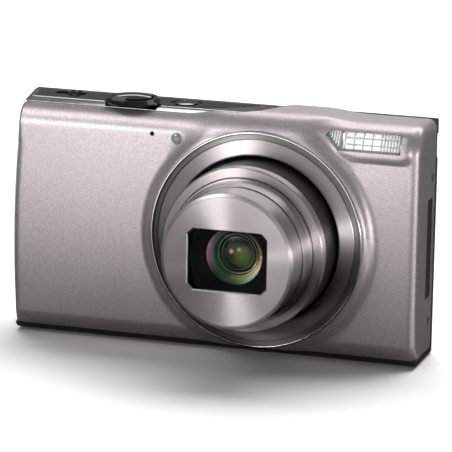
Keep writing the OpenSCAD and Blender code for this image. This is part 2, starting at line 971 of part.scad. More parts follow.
module front_lens() {
    glass_front = barrel_front[2] - 5.6;
    curve_r = 17;
    color([0.6, 0.8, 0.75, 0.4])
    on_lens_axis()
        intersection() {
            translate([0, 0, glass_front - 3.35]) cylinder(r = front_glass_r - 0.05, h = 5);
            translate([0, 0, glass_front - curve_r]) sphere(curve_r);
            translate([0, 0, glass_front - 0.1 - 3.3 + 26]) sphere(26);
            translate([0, 0, glass_front - 3.35])
                cylinder(r1 = front_glass_r + 0.2, r2 = front_glass_r - 1.4, h = 3.4);
        }
}

// One shutter blade of the lens barrier, as it lies when the lens is uncovered.
module blade(side, from) {
    blade_h = 3.9;
    inner = 7.6;
    on_lens_axis()
        translate([0, 0, from])
            linear_extrude(0.3)
                intersection() {
                    translate([-10.3, side > 0 ? inner : -inner - blade_h]) square([20.6, blade_h]);
                    circle(14.8);
                }
}

module blade_upper_inner() {
    color([0.1, 0.1, 0.1]) blade(1, barrel_front[2] - 2.4);
}

module blade_upper_outer() {
    color([0.12, 0.12, 0.12]) blade(1, barrel_front[2] - 1.8);
}

module blade_lower_inner() {
    color([0.1, 0.1, 0.1]) blade(-1, barrel_front[2] - 2.4);
}

module blade_lower_outer() {
    color([0.12, 0.12, 0.12]) blade(-1, barrel_front[2] - 1.8);
}

// Carries the iris, the shutter and the zoom glass.
module shutter_unit() {
    color([0.08, 0.08, 0.09])
    on_lens_axis()
        difference() {
            union() {
                translate([0, 0, 11.4]) cylinder(r = 9.5, h = 3);
                translate([5.5, -3, 11.4]) cube([7, 6, 2.6]);
            }
            translate([0, 0, 10]) cylinder(r = 2.6, h = 8);
            translate([0, 0, 12.2]) cylinder(r = 3.8, h = 4);
        }
}

module zoom_lens() {
    color([0.7, 0.8, 0.85, 0.4])
    on_lens_axis()
        intersection() {
            translate([0, 0, 12.25]) cylinder(r = 3.75, h = 2.4);
            translate([0, 0, 14.6 - 9]) sphere(9);
        }
}

// Moulded focusing lens with its own flange.
module focus_lens() {
    color([0.75, 0.8, 0.85, 0.5])
    on_lens_axis()
        union() {
            translate([0, 0, -2.6]) cylinder(r = 7, h = 0.7);
            intersection() {
                translate([0, 0, -2.6]) cylinder(r = 4.6, h = 1.3);
                translate([0, 0, -1.3 - 10]) sphere(10);
            }
        }
}

// ---- Controls ----

module zoom_lever() {
    base = body_h + 0.15;
    top = base + 1.35;
    tab_angle = 258;
    color([0.1, 0.1, 0.11])
    translate([lever_at.x, lever_at.y, 0])
        difference() {
            union() {
                translate([0, 0, base]) cylinder(r1 = lever_r - 0.35, r2 = lever_r, h = 0.5);
                translate([0, 0, base + 0.5])
                    cylinder(r1 = lever_r, r2 = lever_r - 0.8, h = top - base - 0.5);
                translate([0, 0, body_h - 1.6]) cylinder(r = lever_hub_r, h = 2.2);
                rotate(tab_angle)
                    translate([lever_r - 1.9, -1.8, base + 0.4])
                        cube([1.7, 3.6, 1.75]);
            }
            translate([0, 0, body_h - 3]) cylinder(r = 2.2, h = 8);
            translate([0, 0, base + 0.35]) cylinder(r = 5.05, h = 5);
        }
}

module shutter_button() {
    crown = 22;
    top = body_h + 2.25;
    color([0.12, 0.12, 0.13])
    translate([lever_at.x, lever_at.y, 0])
        union() {
            intersection() {
                translate([0, 0, body_h + 1.75]) cylinder(r = 4.9, h = 2);
                translate([0, 0, top - crown]) sphere(crown);
            }
            translate([0, 0, body_h - 3.4]) cylinder(r = 2.05, h = 5.5);
        }
}

module power_button() {
    crown = 30;
    color([0.1, 0.1, 0.1])
    translate([power_at.x, power_at.y, 0])
        intersection() {
            translate([0, 0, body_h - 2.2]) cylinder(r = 2.8, h = 4);
            translate([0, 0, body_h + 0.25 - crown]) sphere(crown);
        }
}

module mode_switch() {
    knob_l = 2.6;
    half_w = mode_slot_w / 2 - slack;
    x0 = mode_at.x - 0.4;
    color([0.15, 0.15, 0.15])
    union() {
        block([x0, mode_at.y - half_w, body_h - 1.9], [x0 + knob_l, mode_at.y + half_w, body_h - 0.1]);
        for (x = [x0, x0 + knob_l - 0.8])
            block([x, mode_at.y - half_w, body_h - 0.2], [x + 0.8, mode_at.y + half_w, body_h + 0.7]);
        block([x0 - 3, mode_at.y - half_w - 0.8, body_h - 2.4],
              [x0 + knob_l + 3, mode_at.y + half_w + 0.4, body_h - 1.4]);
    }
}

module rear_button(place, r) {
    crown = 26;
    color([0.3, 0.3, 0.31])
    translate([place.x, 0, place.y])
        rotate([-90, 0, 0])
            union() {
                intersection() {
                    translate([0, 0, y_back - wall + 0.2]) cylinder(r = r, h = 4);
                    translate([0, 0, y_back + 0.3 - crown]) sphere(crown);
                }
                translate([0, 0, 7.3]) cylinder(r = 0.8, h = 2);
            }
}

// Places a piece on the four-way ring's middle. Its own +Z points out of the back.
module at_rocker() {
    translate([rocker_at.x, 0, rocker_at.y])
        rotate([-90, 0, 0])
            children();
}

module rocker_ring() {
    color([0.28, 0.28, 0.29])
    at_rocker()
        difference() {
            union() {
                translate([0, 0, y_back - 0.75]) cylinder(r = rocker_r, h = 0.75);
                translate([0, 0, y_back]) cylinder(r1 = rocker_r, r2 = rocker_r - 0.7, h = 0.35);
                for (side = [-1, 1])
                    translate([6.2 * side, 0, gimbal_y + 0.9]) cube([0.6, 1.4, 2.6], center = true);
            }
            translate([0, 0, 5]) cylinder(r = set_button_r + 0.4, h = 9);
            translate([0, 0, y_back + 0.1]) cylinder(r1 = 5.2, r2 = 6.4, h = 0.4);
            translate([-9, 0, gimbal_y]) rotate([0, 90, 0]) cylinder(r = gimbal_pin_r + 0.05, h = 18);
        }
}

// Gimbal that lets the four-way ring rock both ways, with a pin on each of its four sides.
module rocker_pivot() {
    color("silver")
    at_rocker()
        difference() {
            union() {
                translate([0, 0, gimbal_y - 0.35]) cylinder(r = 5.4, h = 0.7);
                for (turn = [0, 90])
                    rotate(turn) translate([-6.8, 0, gimbal_y])
                        rotate([0, 90, 0]) cylinder(r = gimbal_pin_r, h = 13.6);
            }
            translate([0, 0, 5]) cylinder(r = 4.5, h = 9);
        }
}

// ---- What is drawn ----

front_cover();
rear_cover();
top_cover();
top_inset();
bottom_cover();
lens_bezel();
lens_ring();
flash_window();
flash_reflector();
flash_tube();
af_lamp_window();
microphone();
speaker();
strap_lug();
tripod_socket();
case_screws();
lcd_window();
lcd_panel();
chassis();
main_board();
control_board();
flash_capacitor();
battery();
card_slot();
lens_mount();
fixed_barrel();
image_sensor();
zoom_motor();
terminal_sockets();
cam_ring();
zoom_pinion();
barrel_outer();
barrel_outer_trim();
barrel_middle();
barrel_front_tube();  // barrel_front
front_plate();
lens_hood();
front_lens();
blade_upper_inner();
blade_upper_outer();
blade_lower_inner();
blade_lower_outer();
shutter_unit();
zoom_lens();
focus_lens();
zoom_lever();
shutter_button();
power_button();
mode_switch();
rear_button(movie_at, rear_button_r);  // movie_button
rear_button(play_at, rear_button_r);  // playback_button
rear_button(menu_at, rear_button_r);  // menu_button
rear_button(rocker_at, set_button_r);  // set_button
rocker_ring();
rocker_pivot();
battery_door();
door_hinge_pin();
battery_latch();
memory_card();
terminal_cover();
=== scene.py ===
"""Looks of a compact digital camera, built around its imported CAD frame.

Everything is in metres, in the frame's own axes: +X towards the flash end, -Y the way the lens
looks, +Z up. The lens axis runs along Y, straight above the origin.
"""

import json
import math

import bmesh
import bpy
import numpy as np
from mathutils import Matrix, Vector


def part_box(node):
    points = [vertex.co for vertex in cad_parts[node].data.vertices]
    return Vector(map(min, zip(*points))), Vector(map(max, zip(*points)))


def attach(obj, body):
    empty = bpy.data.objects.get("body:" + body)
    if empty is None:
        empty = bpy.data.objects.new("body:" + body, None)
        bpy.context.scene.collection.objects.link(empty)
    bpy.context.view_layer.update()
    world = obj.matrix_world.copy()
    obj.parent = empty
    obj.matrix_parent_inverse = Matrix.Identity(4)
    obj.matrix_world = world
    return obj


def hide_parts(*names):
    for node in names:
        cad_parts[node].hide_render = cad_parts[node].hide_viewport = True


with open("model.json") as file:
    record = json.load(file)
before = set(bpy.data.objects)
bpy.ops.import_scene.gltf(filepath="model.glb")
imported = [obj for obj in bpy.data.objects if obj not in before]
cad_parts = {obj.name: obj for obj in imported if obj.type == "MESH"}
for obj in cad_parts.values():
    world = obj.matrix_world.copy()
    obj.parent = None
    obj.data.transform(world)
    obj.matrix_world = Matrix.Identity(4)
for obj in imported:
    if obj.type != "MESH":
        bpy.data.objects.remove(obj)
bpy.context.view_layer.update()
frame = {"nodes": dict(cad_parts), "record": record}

MM = 0.001
NODES = frame["nodes"]
SLOT_OF = {row["node"]: row["material_slot"] for row in frame["record"]["subparts"]}
LENS_Z = (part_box("lens_ring")[0].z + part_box("lens_ring")[1].z) / 2


# ---------------------------------------------------------------- material helpers

class Surface:
    """A Principled material that is put together from object-space procedural layers."""

    def __init__(self, name, colour, metallic, roughness, specular=0.5):
        self.material = bpy.data.materials.new(name)
        self.material.use_nodes = True
        self.nodes = self.material.node_tree.nodes
        self.links = self.material.node_tree.links
        self.shader = self.nodes["Principled BSDF"]
        self.shader.inputs["Metallic"].default_value = metallic
        self.shader.inputs["Roughness"].default_value = roughness
        self.shader.inputs["Base Color"].default_value = (*colour, 1)
        self.shader.inputs["Specular IOR Level"].default_value = specular
        self.colour = colour
        self.roughness = roughness
        self.place = self.nodes.new("ShaderNodeTexCoord").outputs["Object"]

    def set(self, **sockets):
        """Sets sockets of the shader by their names, with _ for each space."""
        for name, value in sockets.items():
            self.shader.inputs[name.replace("_", " ")].default_value = value
        return self

    def stretched(self, scale):
        mapping = self.nodes.new("ShaderNodeMapping")
        mapping.inputs["Scale"].default_value = scale
        self.links.new(self.place, mapping.inputs["Vector"])
        return mapping.outputs["Vector"]

    def noise(self, size, detail=3, scale=(1, 1, 1)):
        """Noise whose features are about size metres across, from 0 to 1."""
        node = self.nodes.new("ShaderNodeTexNoise")
        node.inputs["Scale"].default_value = 1 / size
        node.inputs["Detail"].default_value = detail
        self.links.new(self.stretched(scale), node.inputs["Vector"])
        return node.outputs["Fac"]

    def flakes(self, size):
        """One random value in each cell of about size metres."""
        node = self.nodes.new("ShaderNodeTexVoronoi")
        node.inputs["Scale"].default_value = 1 / size
        self.links.new(self.place, node.inputs["Vector"])
        split = self.nodes.new("ShaderNodeSeparateColor")
        self.links.new(node.outputs["Color"], split.inputs["Color"])
        return split.outputs["Red"]

    def math(self, operation, a, b=0.0):
        node = self.nodes.new("ShaderNodeMath")
        node.operation = operation
        for socket, value in zip(node.inputs, (a, b)):
            if isinstance(value, (int, float)):
                socket.default_value = value
            else:
                self.links.new(value, socket)
        return node.outputs["Value"]

    def hypot(self, a, b):
        squares = self.math("ADD", self.math("MULTIPLY", a, a), self.math("MULTIPLY", b, b))
        return self.math("SQRT", squares)

    def axis(self, letter):
        split = self.nodes.new("ShaderNodeSeparateXYZ")
        self.links.new(self.place, split.inputs["Vector"])
        return split.outputs[letter]

    def across_lens(self):
        """Where a point lies across the lens axis: towards the flash end, and up."""
        return self.axis("X"), self.math("SUBTRACT", self.axis("Z"), LENS_Z)

    def ramp(self, value, low, high, to_low=0.0, to_high=1.0):
        """Goes smoothly from to_low to to_high while value goes from low to high."""
        node = self.nodes.new("ShaderNodeMapRange")
        node.interpolation_type = "SMOOTHSTEP"
        node.inputs["From Min"].default_value = low
        node.inputs["From Max"].default_value = high
        node.inputs["To Min"].default_value = to_low
        node.inputs["To Max"].default_value = to_high
        self.links.new(value, node.inputs["Value"])
        return node.outputs["Result"]

    def mix(self, value, low, high):
        """A colour between two colours or sockets."""
        node = self.nodes.new("ShaderNodeMix")
        node.data_type = "RGBA"
        self.links.new(value, node.inputs["Factor"])
        for socket, colour in ((node.inputs[6], low), (node.inputs[7], high)):
            if isinstance(colour, (tuple, list)):
                socket.default_value = (*colour[:3], 1)
            else:
                self.links.new(colour, socket)
        return node.outputs[2]

    def paint(self, colour):
        self.links.new(colour, self.shader.inputs["Base Color"])
        return self

    def vary_colour(self, value, amount):
        """Lets the base colour wander round its own value."""
        dark = tuple(c * (1 - amount) for c in self.colour)
        light = tuple(min(1, c * (1 + amount)) for c in self.colour)
        return self.paint(self.mix(value, dark, light))

    def vary_roughness(self, value, amount):
        """Lets the roughness wander round its own value."""
        low = max(0.02, self.roughness - amount)
        high = min(1, self.roughness + amount)
        self.links.new(self.ramp(value, 0.2, 0.8, low, high), self.shader.inputs["Roughness"])
        return self

    def bump(self, value, depth, strength=0.5):
        """Raises the surface by up to depth metres where value is 1."""
        node = self.nodes.new("ShaderNodeBump")
        node.inputs["Strength"].default_value = strength
        node.inputs["Distance"].default_value = depth
        self.links.new(value, node.inputs["Height"])
        self.links.new(node.outputs["Normal"], self.shader.inputs["Normal"])
        return self

    def spin(self, axis, amount):
        """Stretches highlights across turning marks that run round an axis."""
        tangent = self.nodes.new("ShaderNodeTangent")
        tangent.direction_type = "RADIAL"
        tangent.axis = axis
        self.links.new(tangent.outputs["Tangent"], self.shader.inputs["Tangent"])
        return self.set(Anisotropic=amount, Anisotropic_Rotation=0.25)


# ---------------------------------------------------------------- materials

def shade(colour, factor):
    return tuple(c * factor for c in colour)


def metallic_paint(name, colour):
    """Aluminium skin under a fine metallic paint: flakes, soft grain and a thin clear coat."""
    s = Surface(name, colour, 0.85, 0.38)
    s.set(Coat_Weight=0.15, Coat_Roughness=0.2)
    flakes = s.math("MULTIPLY", s.flakes(0.00022), 0.65)
    speckle = s.math("ADD", flakes, s.math("MULTIPLY", s.noise(0.0005), 0.35))
    s.vary_colour(speckle, 0.22)
    s.vary_roughness(s.noise(0.03), 0.012)
    s.bump(s.noise(0.00025, 2), 0.000014)
    return s.material


def polished(name, colour=(0.82, 0.79, 0.80), roughness=0.12):
    """Smooth bright metal with slight smears."""
    s = Surface(name, colour, 1.0, roughness)
    s.vary_colour(s.noise(0.003), 0.04)
    s.vary_roughness(s.noise(0.0015, 4), 0.02)
    return s.material


RING_PITCH = 0.0006
# How dark the painted shade on the grip side of spun metal gets, as a share of its colour.
GRIP_SIDE_PAINTED_SHADE = 0.38


def spun(name, colour=(0.72, 0.665, 0.67)):
    """Lathe-turned metal: fine rings round the lens axis, which stretch its highlights across them.

    Its colour is painted darker towards the grip side, as painted shade.
    """
    s = Surface(name, colour, 1.0, 0.36)
    x, z = s.across_lens()
    radius = s.hypot(x, z)
    rings = s.nodes.new("ShaderNodeTexNoise")
    rings.noise_dimensions = "1D"
    rings.inputs["Scale"].default_value = 1 / RING_PITCH
    rings.inputs["Detail"].default_value = 2
    s.links.new(radius, rings.inputs["W"])
    fine = s.math("MULTIPLY", rings.outputs["Fac"], 0.6)
    grain = s.math("ADD", fine, s.math("MULTIPLY", s.noise(0.004), 0.4))
    # Painted shade: the base colour darkens towards the grip side.
    side = s.ramp(s.math("DIVIDE", x, radius), -1.0, 0.0)
    turned = s.mix(grain, shade(colour, 0.88), shade(colour, 1.12))
    s.paint(s.mix(side, shade(colour, GRIP_SIDE_PAINTED_SHADE), turned))
    s.vary_roughness(s.noise(0.008), 0.02)
    s.spin("Y", 0.95)
    return s.material


def satin_dark(name, colour, roughness, metallic, specular=0.5):
    """Fine-grained black coating."""
    s = Surface(name, colour, metallic, roughness, specular)
    s.vary_colour(s.noise(0.002), 0.15)
    s.vary_roughness(s.noise(0.004), 0.04)
    s.bump(s.noise(0.00025, 2), 0.000008, 0.3)
    return s.material


def speckled_dark(name, colour=(0.05, 0.041, 0.043)):
    """Dark metallic paint of the back, the base and the blades, with light flakes."""
    s = Surface(name, colour, 0.55, 0.42)
    flakes = s.ramp(s.flakes(0.00016), 0.55, 1.0)
    s.paint(s.mix(flakes, colour, shade(colour, 2.1)))
    s.vary_roughness(s.noise(0.003), 0.06)
    s.bump(s.noise(0.0003, 2), 0.00001)
    return s.material


def gloss(name, colour, roughness=0.07, speck=0.3):
    """Glossy moulded plastic, with faint dust and handling marks."""
    s = Surface(name, colour, 0.0, roughness)
    s.set(Coat_Weight=0.6, Coat_Roughness=0.04)
    s.vary_colour(s.noise(0.004), speck)
    s.vary_roughness(s.noise(0.0025, 5), 0.03)
    return s.material


def moulded(name, colour, roughness=0.5):
    """Moulded plastic with a fine spark-eroded grain."""
    s = Surface(name, colour, 0.0, roughness)
    s.vary_colour(s.noise(0.003), 0.12)
    s.vary_roughness(s.noise(0.004), 0.08)
    s.bump(s.noise(0.0003), 0.00002)
    return s.material


def brushed(name, colour=(0.58, 0.58, 0.59)):
    """Metal with brush lines."""
    s = Surface(name, colour, 1.0, 0.28)
    lines = s.noise(0.0006, scale=(1, 1, 12))
    s.vary_colour(lines, 0.1)
    s.vary_roughness(lines, 0.08)
    return s.material


def coated_glass(name, colour, alpha, roughness=0.02):
    """Thin clear glass or plastic: mostly see-through, with a sharp tinted reflection."""
    s = Surface(name, colour, 0.0, roughness)
    s.set(Alpha=alpha, IOR=1.5, Specular_Tint=(0.75, 1.0, 0.85, 1))
    s.vary_roughness(s.noise(0.004), 0.01)
    return s.material


def lever_gloss(name):
    """Glossy black lever whose finger tab is bright metal."""
    black = (0.012, 0.012, 0.013)
    metal = (0.8, 0.78, 0.78)
    s = Surface(name, black, 0.0, 0.1)
    low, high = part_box("zoom_lever")
    tab_x = (low.x + high.x) / 2 - 0.0012
    tab_y = low.y + 0.0012
    off_tab = s.hypot(s.math("SUBTRACT", s.axis("X"), tab_x), s.math("SUBTRACT", s.axis("Y"), tab_y))
    near = s.ramp(off_tab, 0.0023, 0.0021)
    tab = s.math("MULTIPLY", near, s.ramp(s.axis("Z"), high.z - 0.00075, high.z - 0.0006))
    s.links.new(tab, s.shader.inputs["Metallic"])
    s.paint(s.mix(tab, black, metal))
    s.vary_roughness(s.noise(0.0025, 5), 0.03)
    return s.material


def flash_plastic(name):
    """Whitish prismatic plastic with fine clouding."""
    s = Surface(name, (0.95, 0.95, 0.96), 0.0, 0.25)
    s.vary_colour(s.noise(0.0008), 0.08)
    s.vary_roughness(s.noise(0.0006), 0.1)
    return s.material


def circuit_board(name):
    """Green board with lighter, slightly raised tracks."""
    s = Surface(name, (0.02, 0.12, 0.05), 0.0, 0.35)
    traces = s.ramp(s.noise(0.0011, 2, (1, 1, 3)), 0.5, 0.54)
    s.paint(s.mix(traces, (0.012, 0.09, 0.04), (0.03, 0.2, 0.09)))
    s.bump(traces, 0.00003)
    s.vary_roughness(s.noise(0.002), 0.08)
    return s.material


def tint_round_axis(s, turn, tints):
    """A colour that changes with the angle round the lens axis.

    Each stop is (share of a turn, colour).
    """
    bands = s.nodes.new("ShaderNodeValToRGB")
    s.links.new(turn, bands.inputs["Fac"])
    stops = bands.color_ramp.elements
    for position, tint in tints:
        stops.new(position).color = (*tint, 1)
    stops.remove(stops[0])
    return bands.outputs["Color"]


def lens_coating_painted_reflections(name):
    """Coated inner glass with painted reflections: tints turn from amber through teal and lilac to
    mint round the axis, with a painted cream highlight low on the flash end side.
    """
    s = Surface(name, (0.1, 0.1, 0.1), 0.25, 0.34)
    x, z = s.across_lens()
    turn = s.math("FRACT", s.math("MULTIPLY", s.math("ARCTAN2", z, x), 1 / (2 * math.pi)))
    # Painted reflections in the coatings' own tints: each colour is placed round the axis where a
    # reflection falls.
    inner = tint_round_axis(s, turn, [
        (0.00, (0.50, 0.24, 0.08)), (0.08, (0.16, 0.12, 0.07)), (0.25, (0.010, 0.022, 0.015)),
        (0.42, (0.020, 0.070, 0.060)), (0.55, (0.015, 0.085, 0.065)), (0.68, (0.05, 0.075, 0.035)),
        (0.80, (0.34, 0.34, 0.12)), (0.90, (0.95, 0.82, 0.48)), (0.99, (0.55, 0.28, 0.10)),
    ])
    outer = tint_round_axis(s, turn, [
        (0.00, (0.30, 0.20, 0.12)), (0.12, (0.05, 0.05, 0.04)), (0.28, (0.012, 0.020, 0.018)),
        (0.38, (0.16, 0.20, 0.19)), (0.46, (0.75, 0.42, 0.62)), (0.53, (0.46, 0.22, 0.34)),
        (0.62, (0.035, 0.080, 0.062)), (0.76, (0.03, 0.055, 0.04)), (0.86, (0.32, 0.72, 0.50)),
        (0.93, (0.62, 0.72, 0.48)), (0.99, (0.34, 0.24, 0.14)),
    ])
    s.paint(s.mix(s.ramp(s.hypot(x, z), 0.0056, 0.0068), inner, outer))
    s.vary_roughness(s.noise(0.002), 0.05)
    return s.material


def deep_glass(name):
    """The innermost glass: a dark olive pool with painted highlights: a brighter olive patch below
    its middle on the flash end side, a small painted warm glint beside its middle and a pale painted
    glint just above it.
    """
    s = Surface(name, (0.02, 0.035, 0.012), 0.5, 0.22)
    x, z = s.across_lens()

    def spot(at_x, at_z, radius):
        off = s.hypot(s.math("SUBTRACT", x, at_x), s.math("SUBTRACT", z, at_z))
        return s.ramp(off, radius, 0)

    # Painted highlights: a brighter olive patch, a warm glint and a pale glint set into the colour.
    pool_with_painted_glow = s.mix(spot(0.0012, -0.0012, 0.0036), (0.008, 0.014, 0.006), (0.11, 0.15, 0.03))
    painted_warm_glint = s.mix(spot(-0.0018, 0.0002, 0.0008), pool_with_painted_glow, (0.95, 0.32, 0.05))
    s.paint(s.mix(spot(0.0001, 0.0008, 0.0007), painted_warm_glint, (0.3, 0.3, 0.16)))
    s.vary_roughness(s.noise(0.002), 0.05)
    return s.material


MATERIALS = {
    "champagne_paint": metallic_paint("front_skin", (0.70, 0.634, 0.655)),
    "black_paint": speckled_dark("black_skin"),
    "polished_silver": polished("polished_silver"),
    "gloss_black": gloss("gloss_black", (0.012, 0.012, 0.013)),
    "spun_silver": spun("spun_silver"),
    "dark_barrel": satin_dark("dark_barrel", (0.05, 0.047, 0.046), 0.4, 0.6),
    "clear_plastic": coated_glass("clear_plastic", (0.97, 0.98, 1.0), 0.12, 0.06),
    "lens_glass": coated_glass("lens_glass", (0.01, 0.02, 0.015), 0.1),
    "reflector": polished("reflector", (0.93, 0.93, 0.94), 0.12),
    "steel": brushed("steel"),
    "matte_black": satin_dark("matte_black", (0.004, 0.004, 0.0045), 0.55, 0.0, specular=0.12),
    "dark_plastic": moulded("dark_plastic", (0.03, 0.03, 0.032)),
    "grey_plastic": moulded("grey_plastic", (0.2, 0.2, 0.205)),
    "button_grey": gloss("button_grey", (0.09, 0.088, 0.09), 0.28, 0.1),
    "screen_glass": gloss("screen_glass", (0.008, 0.008, 0.011), 0.04),
    "board": circuit_board("board"),
    "capacitor_sleeve": gloss("capacitor_sleeve", (0.02, 0.02, 0.035), 0.2),
    "battery_wrap": moulded("battery_wrap", (0.05, 0.055, 0.065), 0.42),
    "card_blue": moulded("card_blue", (0.015, 0.03, 0.09), 0.4),
    "gold_contact": polished("gold_contact", (0.85, 0.6, 0.22), 0.2),
    "brass": brushed("brass", (0.75, 0.56, 0.25)),
    "latch_orange": moulded("latch_orange", (0.7, 0.22, 0.03), 0.4),
    "side_rubber": speckled_dark("side_rubber", (0.05, 0.042, 0.044)),
}
FLASH_PLASTIC = flash_plastic("flash_plastic")
LENS_COATING_PAINTED_REFLECTIONS = lens_coating_painted_reflections("lens_coating_painted_reflections")
EDGE_METAL = polished("edge_metal", (0.85, 0.82, 0.82), 0.32)
GROOVE_METAL = spun("groove_metal", (0.34, 0.31, 0.31))
GLASS_RIM = polished("glass_rim", (0.30, 0.34, 0.28), 0.3)
DEEP_GLASS_PAINTED_GLINTS = deep_glass("deep_glass")
NODE_LOOKS = {
    "af_lamp_window": gloss("lamp_lens", (0.26, 0.27, 0.27), 0.12, 0.15),
    "zoom_lever": lever_gloss("lever_gloss"),
}


def dress_frame():
    """Gives each CAD node the material of its slot, or its own look where it has one."""
    for name, node in NODES.items():
        node.data.materials.clear()
        node.data.materials.append(NODE_LOOKS.get(name, MATERIALS[SLOT_OF[name]]))


# ---------------------------------------------------------------- mesh helpers

def new_mesh(name, verts, faces):
    mesh = bpy.data.meshes.new(name)
    mesh.from_pydata(verts, [], faces)
    return mesh


def mesh_of(name, bm):
    """A mesh made from bm, which is used up."""
    mesh = bpy.data.meshes.new(name)
    bm.to_mesh(mesh)
    bm.free()
    return mesh


def add_object(name, data):
    thing = bpy.data.objects.new(name, data)
    bpy.context.scene.collection.objects.link(thing)
    return thing


def add_piece(name, mesh, body, slot, replaced=(), material=None):
    """A visual piece that rides on a CAD body and may stand for some of its nodes."""
    piece = add_object(name, mesh)
    mesh.materials.clear()
    mesh.materials.append(material or MATERIALS[slot])
    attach(piece, body)
    if replaced:
        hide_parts(*replaced)
    return piece


def tube_faces(rows, count):
    """Faces between rows of count points each, where every row closes on itself."""
    faces = []
    for i in range(rows - 1):
        near, far = i * count, (i + 1) * count
        for k in range(count):
            m = (k + 1) % count
            faces.append((near + k, near + m, far + m, far + k))
    return faces


ROUNDING_STEPS = 4


def rounded_profile(corners, radius):
    """Rounds each corner of a closed (radius, depth) outline.

    A corner is (r, y), or (r, y, its own rounding radius). The outline runs anticlockwise with r
    to the right and the depth upwards. Each point comes back with its outward normal.
    """
    points = []
    count = len(corners)
    for i, corner in enumerate(corners):
        here = np.array(corner[:2], float)
        before = np.array(corners[i - 1][:2], float) - here
        after = np.array(corners[(i + 1) % count][:2], float) - here
        before_length, after_length = np.linalg.norm(before), np.linalg.norm(after)
        before, after = before / before_length, after / after_length
        own = corner[2] if len(corner) > 2 else radius
        half = math.acos(float(np.clip(before @ after, -1, 1))) / 2
        cut = min(own / math.tan(half), 0.45 * before_length, 0.45 * after_length)
        own = cut * math.tan(half)
        turn = before[0] * after[1] - before[1] * after[0]
        centre = here + (before + after) / np.linalg.norm(before + after) * own / math.sin(half)
        start = here + before * cut
        end = here + after * cut
        a0 = math.atan2(*(start - centre)[::-1])
        a1 = math.atan2(*(end - centre)[::-1])
        sweep = (a1 - a0 + math.pi) % (2 * math.pi) - math.pi
        for k in range(ROUNDING_STEPS + 1):
            a = a0 + sweep * k / ROUNDING_STEPS
            way = np.array([math.cos(a), math.sin(a)])
            outward = way if turn < 0 else -way
            points.append((*(centre + way * own), *outward))
    return points


def turned_mesh(name, corners, radius=0.06, segments=288):
    """A ring turned about the lens axis, from an outline in millimetres, with exact normals."""
    profile = rounded_profile(corners, radius)
    verts, normals = [], []
    for k in range(segments):
        a = 2 * math.pi * k / segments
        c, s = math.cos(a), math.sin(a)
        for r, y, nr, ny in profile:
            verts.append((r * c * MM, -y * MM, LENS_Z + r * s * MM))
            normals.append((nr * c, -ny, nr * s))
    n = len(profile)
    faces = []
    for k in range(segments):
        m = (k + 1) % segments
        for i in range(n):
            j = (i + 1) % n
            faces.append((k * n + i, m * n + i, m * n + j, k * n + j))
    mesh = new_mesh(name, verts, faces)
    mesh.shade_smooth()
    mesh.normals_split_custom_set_from_vertices(normals)
    return mesh


def prism(bm, outline, place, low, high):
    """Adds a straight prism to bm. place(a, b, depth) says where an outline point goes."""
    ends = [[bm.verts.new(place(a, b, depth)) for a, b in outline] for depth in (low, high)]
    bm.faces.new(ends[0])
    bm.faces.new(ends[1][::-1])
    for i in range(len(outline)):
        bm.faces.new((ends[0][i - 1], ends[1][i - 1], ends[1][i], ends[0][i]))


def circle(at, radius, steps=48):
    angles = [2 * math.pi * k / steps for k in range(steps)]
    return [(at[0] + radius * math.cos(a), at[1] + radius * math.sin(a)) for a in angles]


def rectangle(low, high):
    return [(low[0], low[1]), (high[0], low[1]), (high[0], high[1]), (low[0], high[1])]


def along_x(a, b, depth):
    return (depth * MM, a * MM, b * MM)


def along_y(a, b, depth):
    return (a * MM, depth * MM, b * MM)


def along_z(a, b, depth):
    return (a * MM, b * MM, depth * MM)


# ---------------------------------------------------------------- front shell

FRONT_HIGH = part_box("front_cover")[1]
TOP_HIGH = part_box("rear_cover")[1].z
BODY_LOW = Vector((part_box("rear_cover")[0].x, -0.01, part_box("bottom_cover")[0].z))
BODY_HIGH = Vector((FRONT_HIGH.x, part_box("rear_cover")[1].y, TOP_HIGH))
LIP_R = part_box("lens_bezel")[1].x
LIP_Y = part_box("lens_bezel")[0].y
SHELL_THICKNESS = MM

# The body's edges along its length: front low, rear low, rear high, front high.
BODY_RADII = (6 * MM, 3 * MM, 3 * MM, 6.5 * MM)
FLASH_END_ROUNDING = 2.2 * MM

# The grip end is a flat that slants back and bows outwards a little over its height.
GRIP_X = -63.03 * MM
GRIP_Y = -8.4 * MM
GRIP_SLANT = math.radians(11)
GRIP_BOW_Z = 24 * MM
GRIP_BOW_RADIUS = 0.288
GRIP_EDGE_Z = [5 * MM, 9 * MM, 47 * MM, 53 * MM]
GRIP_EDGE_ROUNDING = [1.65 * MM, 2.2 * MM, 2.2 * MM, 0.9 * MM]
GRIP_TOP_ROUNDING = 3.05 * MM
GRIP_CORNER_X = [-56 * MM, -46 * MM]
GRIP_CORNER_ROUNDING = [0.9 * MM, 0.02 * MM]

# The collar rises as a cone from the front to a flat face just behind the lens ring's lip.
COLLAR_FOOT_R = 28.3 * MM
COLLAR_FOOT_Y = -10 * MM
COLLAR_DEPTH = 5 * MM
COLLAR_ACROSS, COLLAR_AHEAD = 0.826, 0.563
COLLAR_SINK = 0.25 * MM
COLLAR_EDGE_ROUNDING = 0.9 * MM
COLLAR_RADII = (6.5 * MM, MM, MM, 8.5 * MM)
COLLAR_CUT_ROUNDING = 0.8 * MM
COLLAR_BLEND, COLLAR_TOP_BLEND = 1.3, 3.2
COLLAR_TOP_Z, COLLAR_TOP_HEIGHT = 0.047, 0.008

# The raised surround of the flash has four sides and a slanted corner beside the collar.
FLASH_RIM_RIGHT = 0.0366
FLASH_RIM_LOW = 0.0501
FLASH_RIM_TOP = 0.0573
FLASH_SLANT_AT = (0.0205, 0.0505)
FLASH_SLANT_ACROSS, FLASH_SLANT_UP = 0.64, 0.77
FLASH_RIM_HEIGHT = 0.65 * MM
FLASH_RIM_SLOPE = 0.75


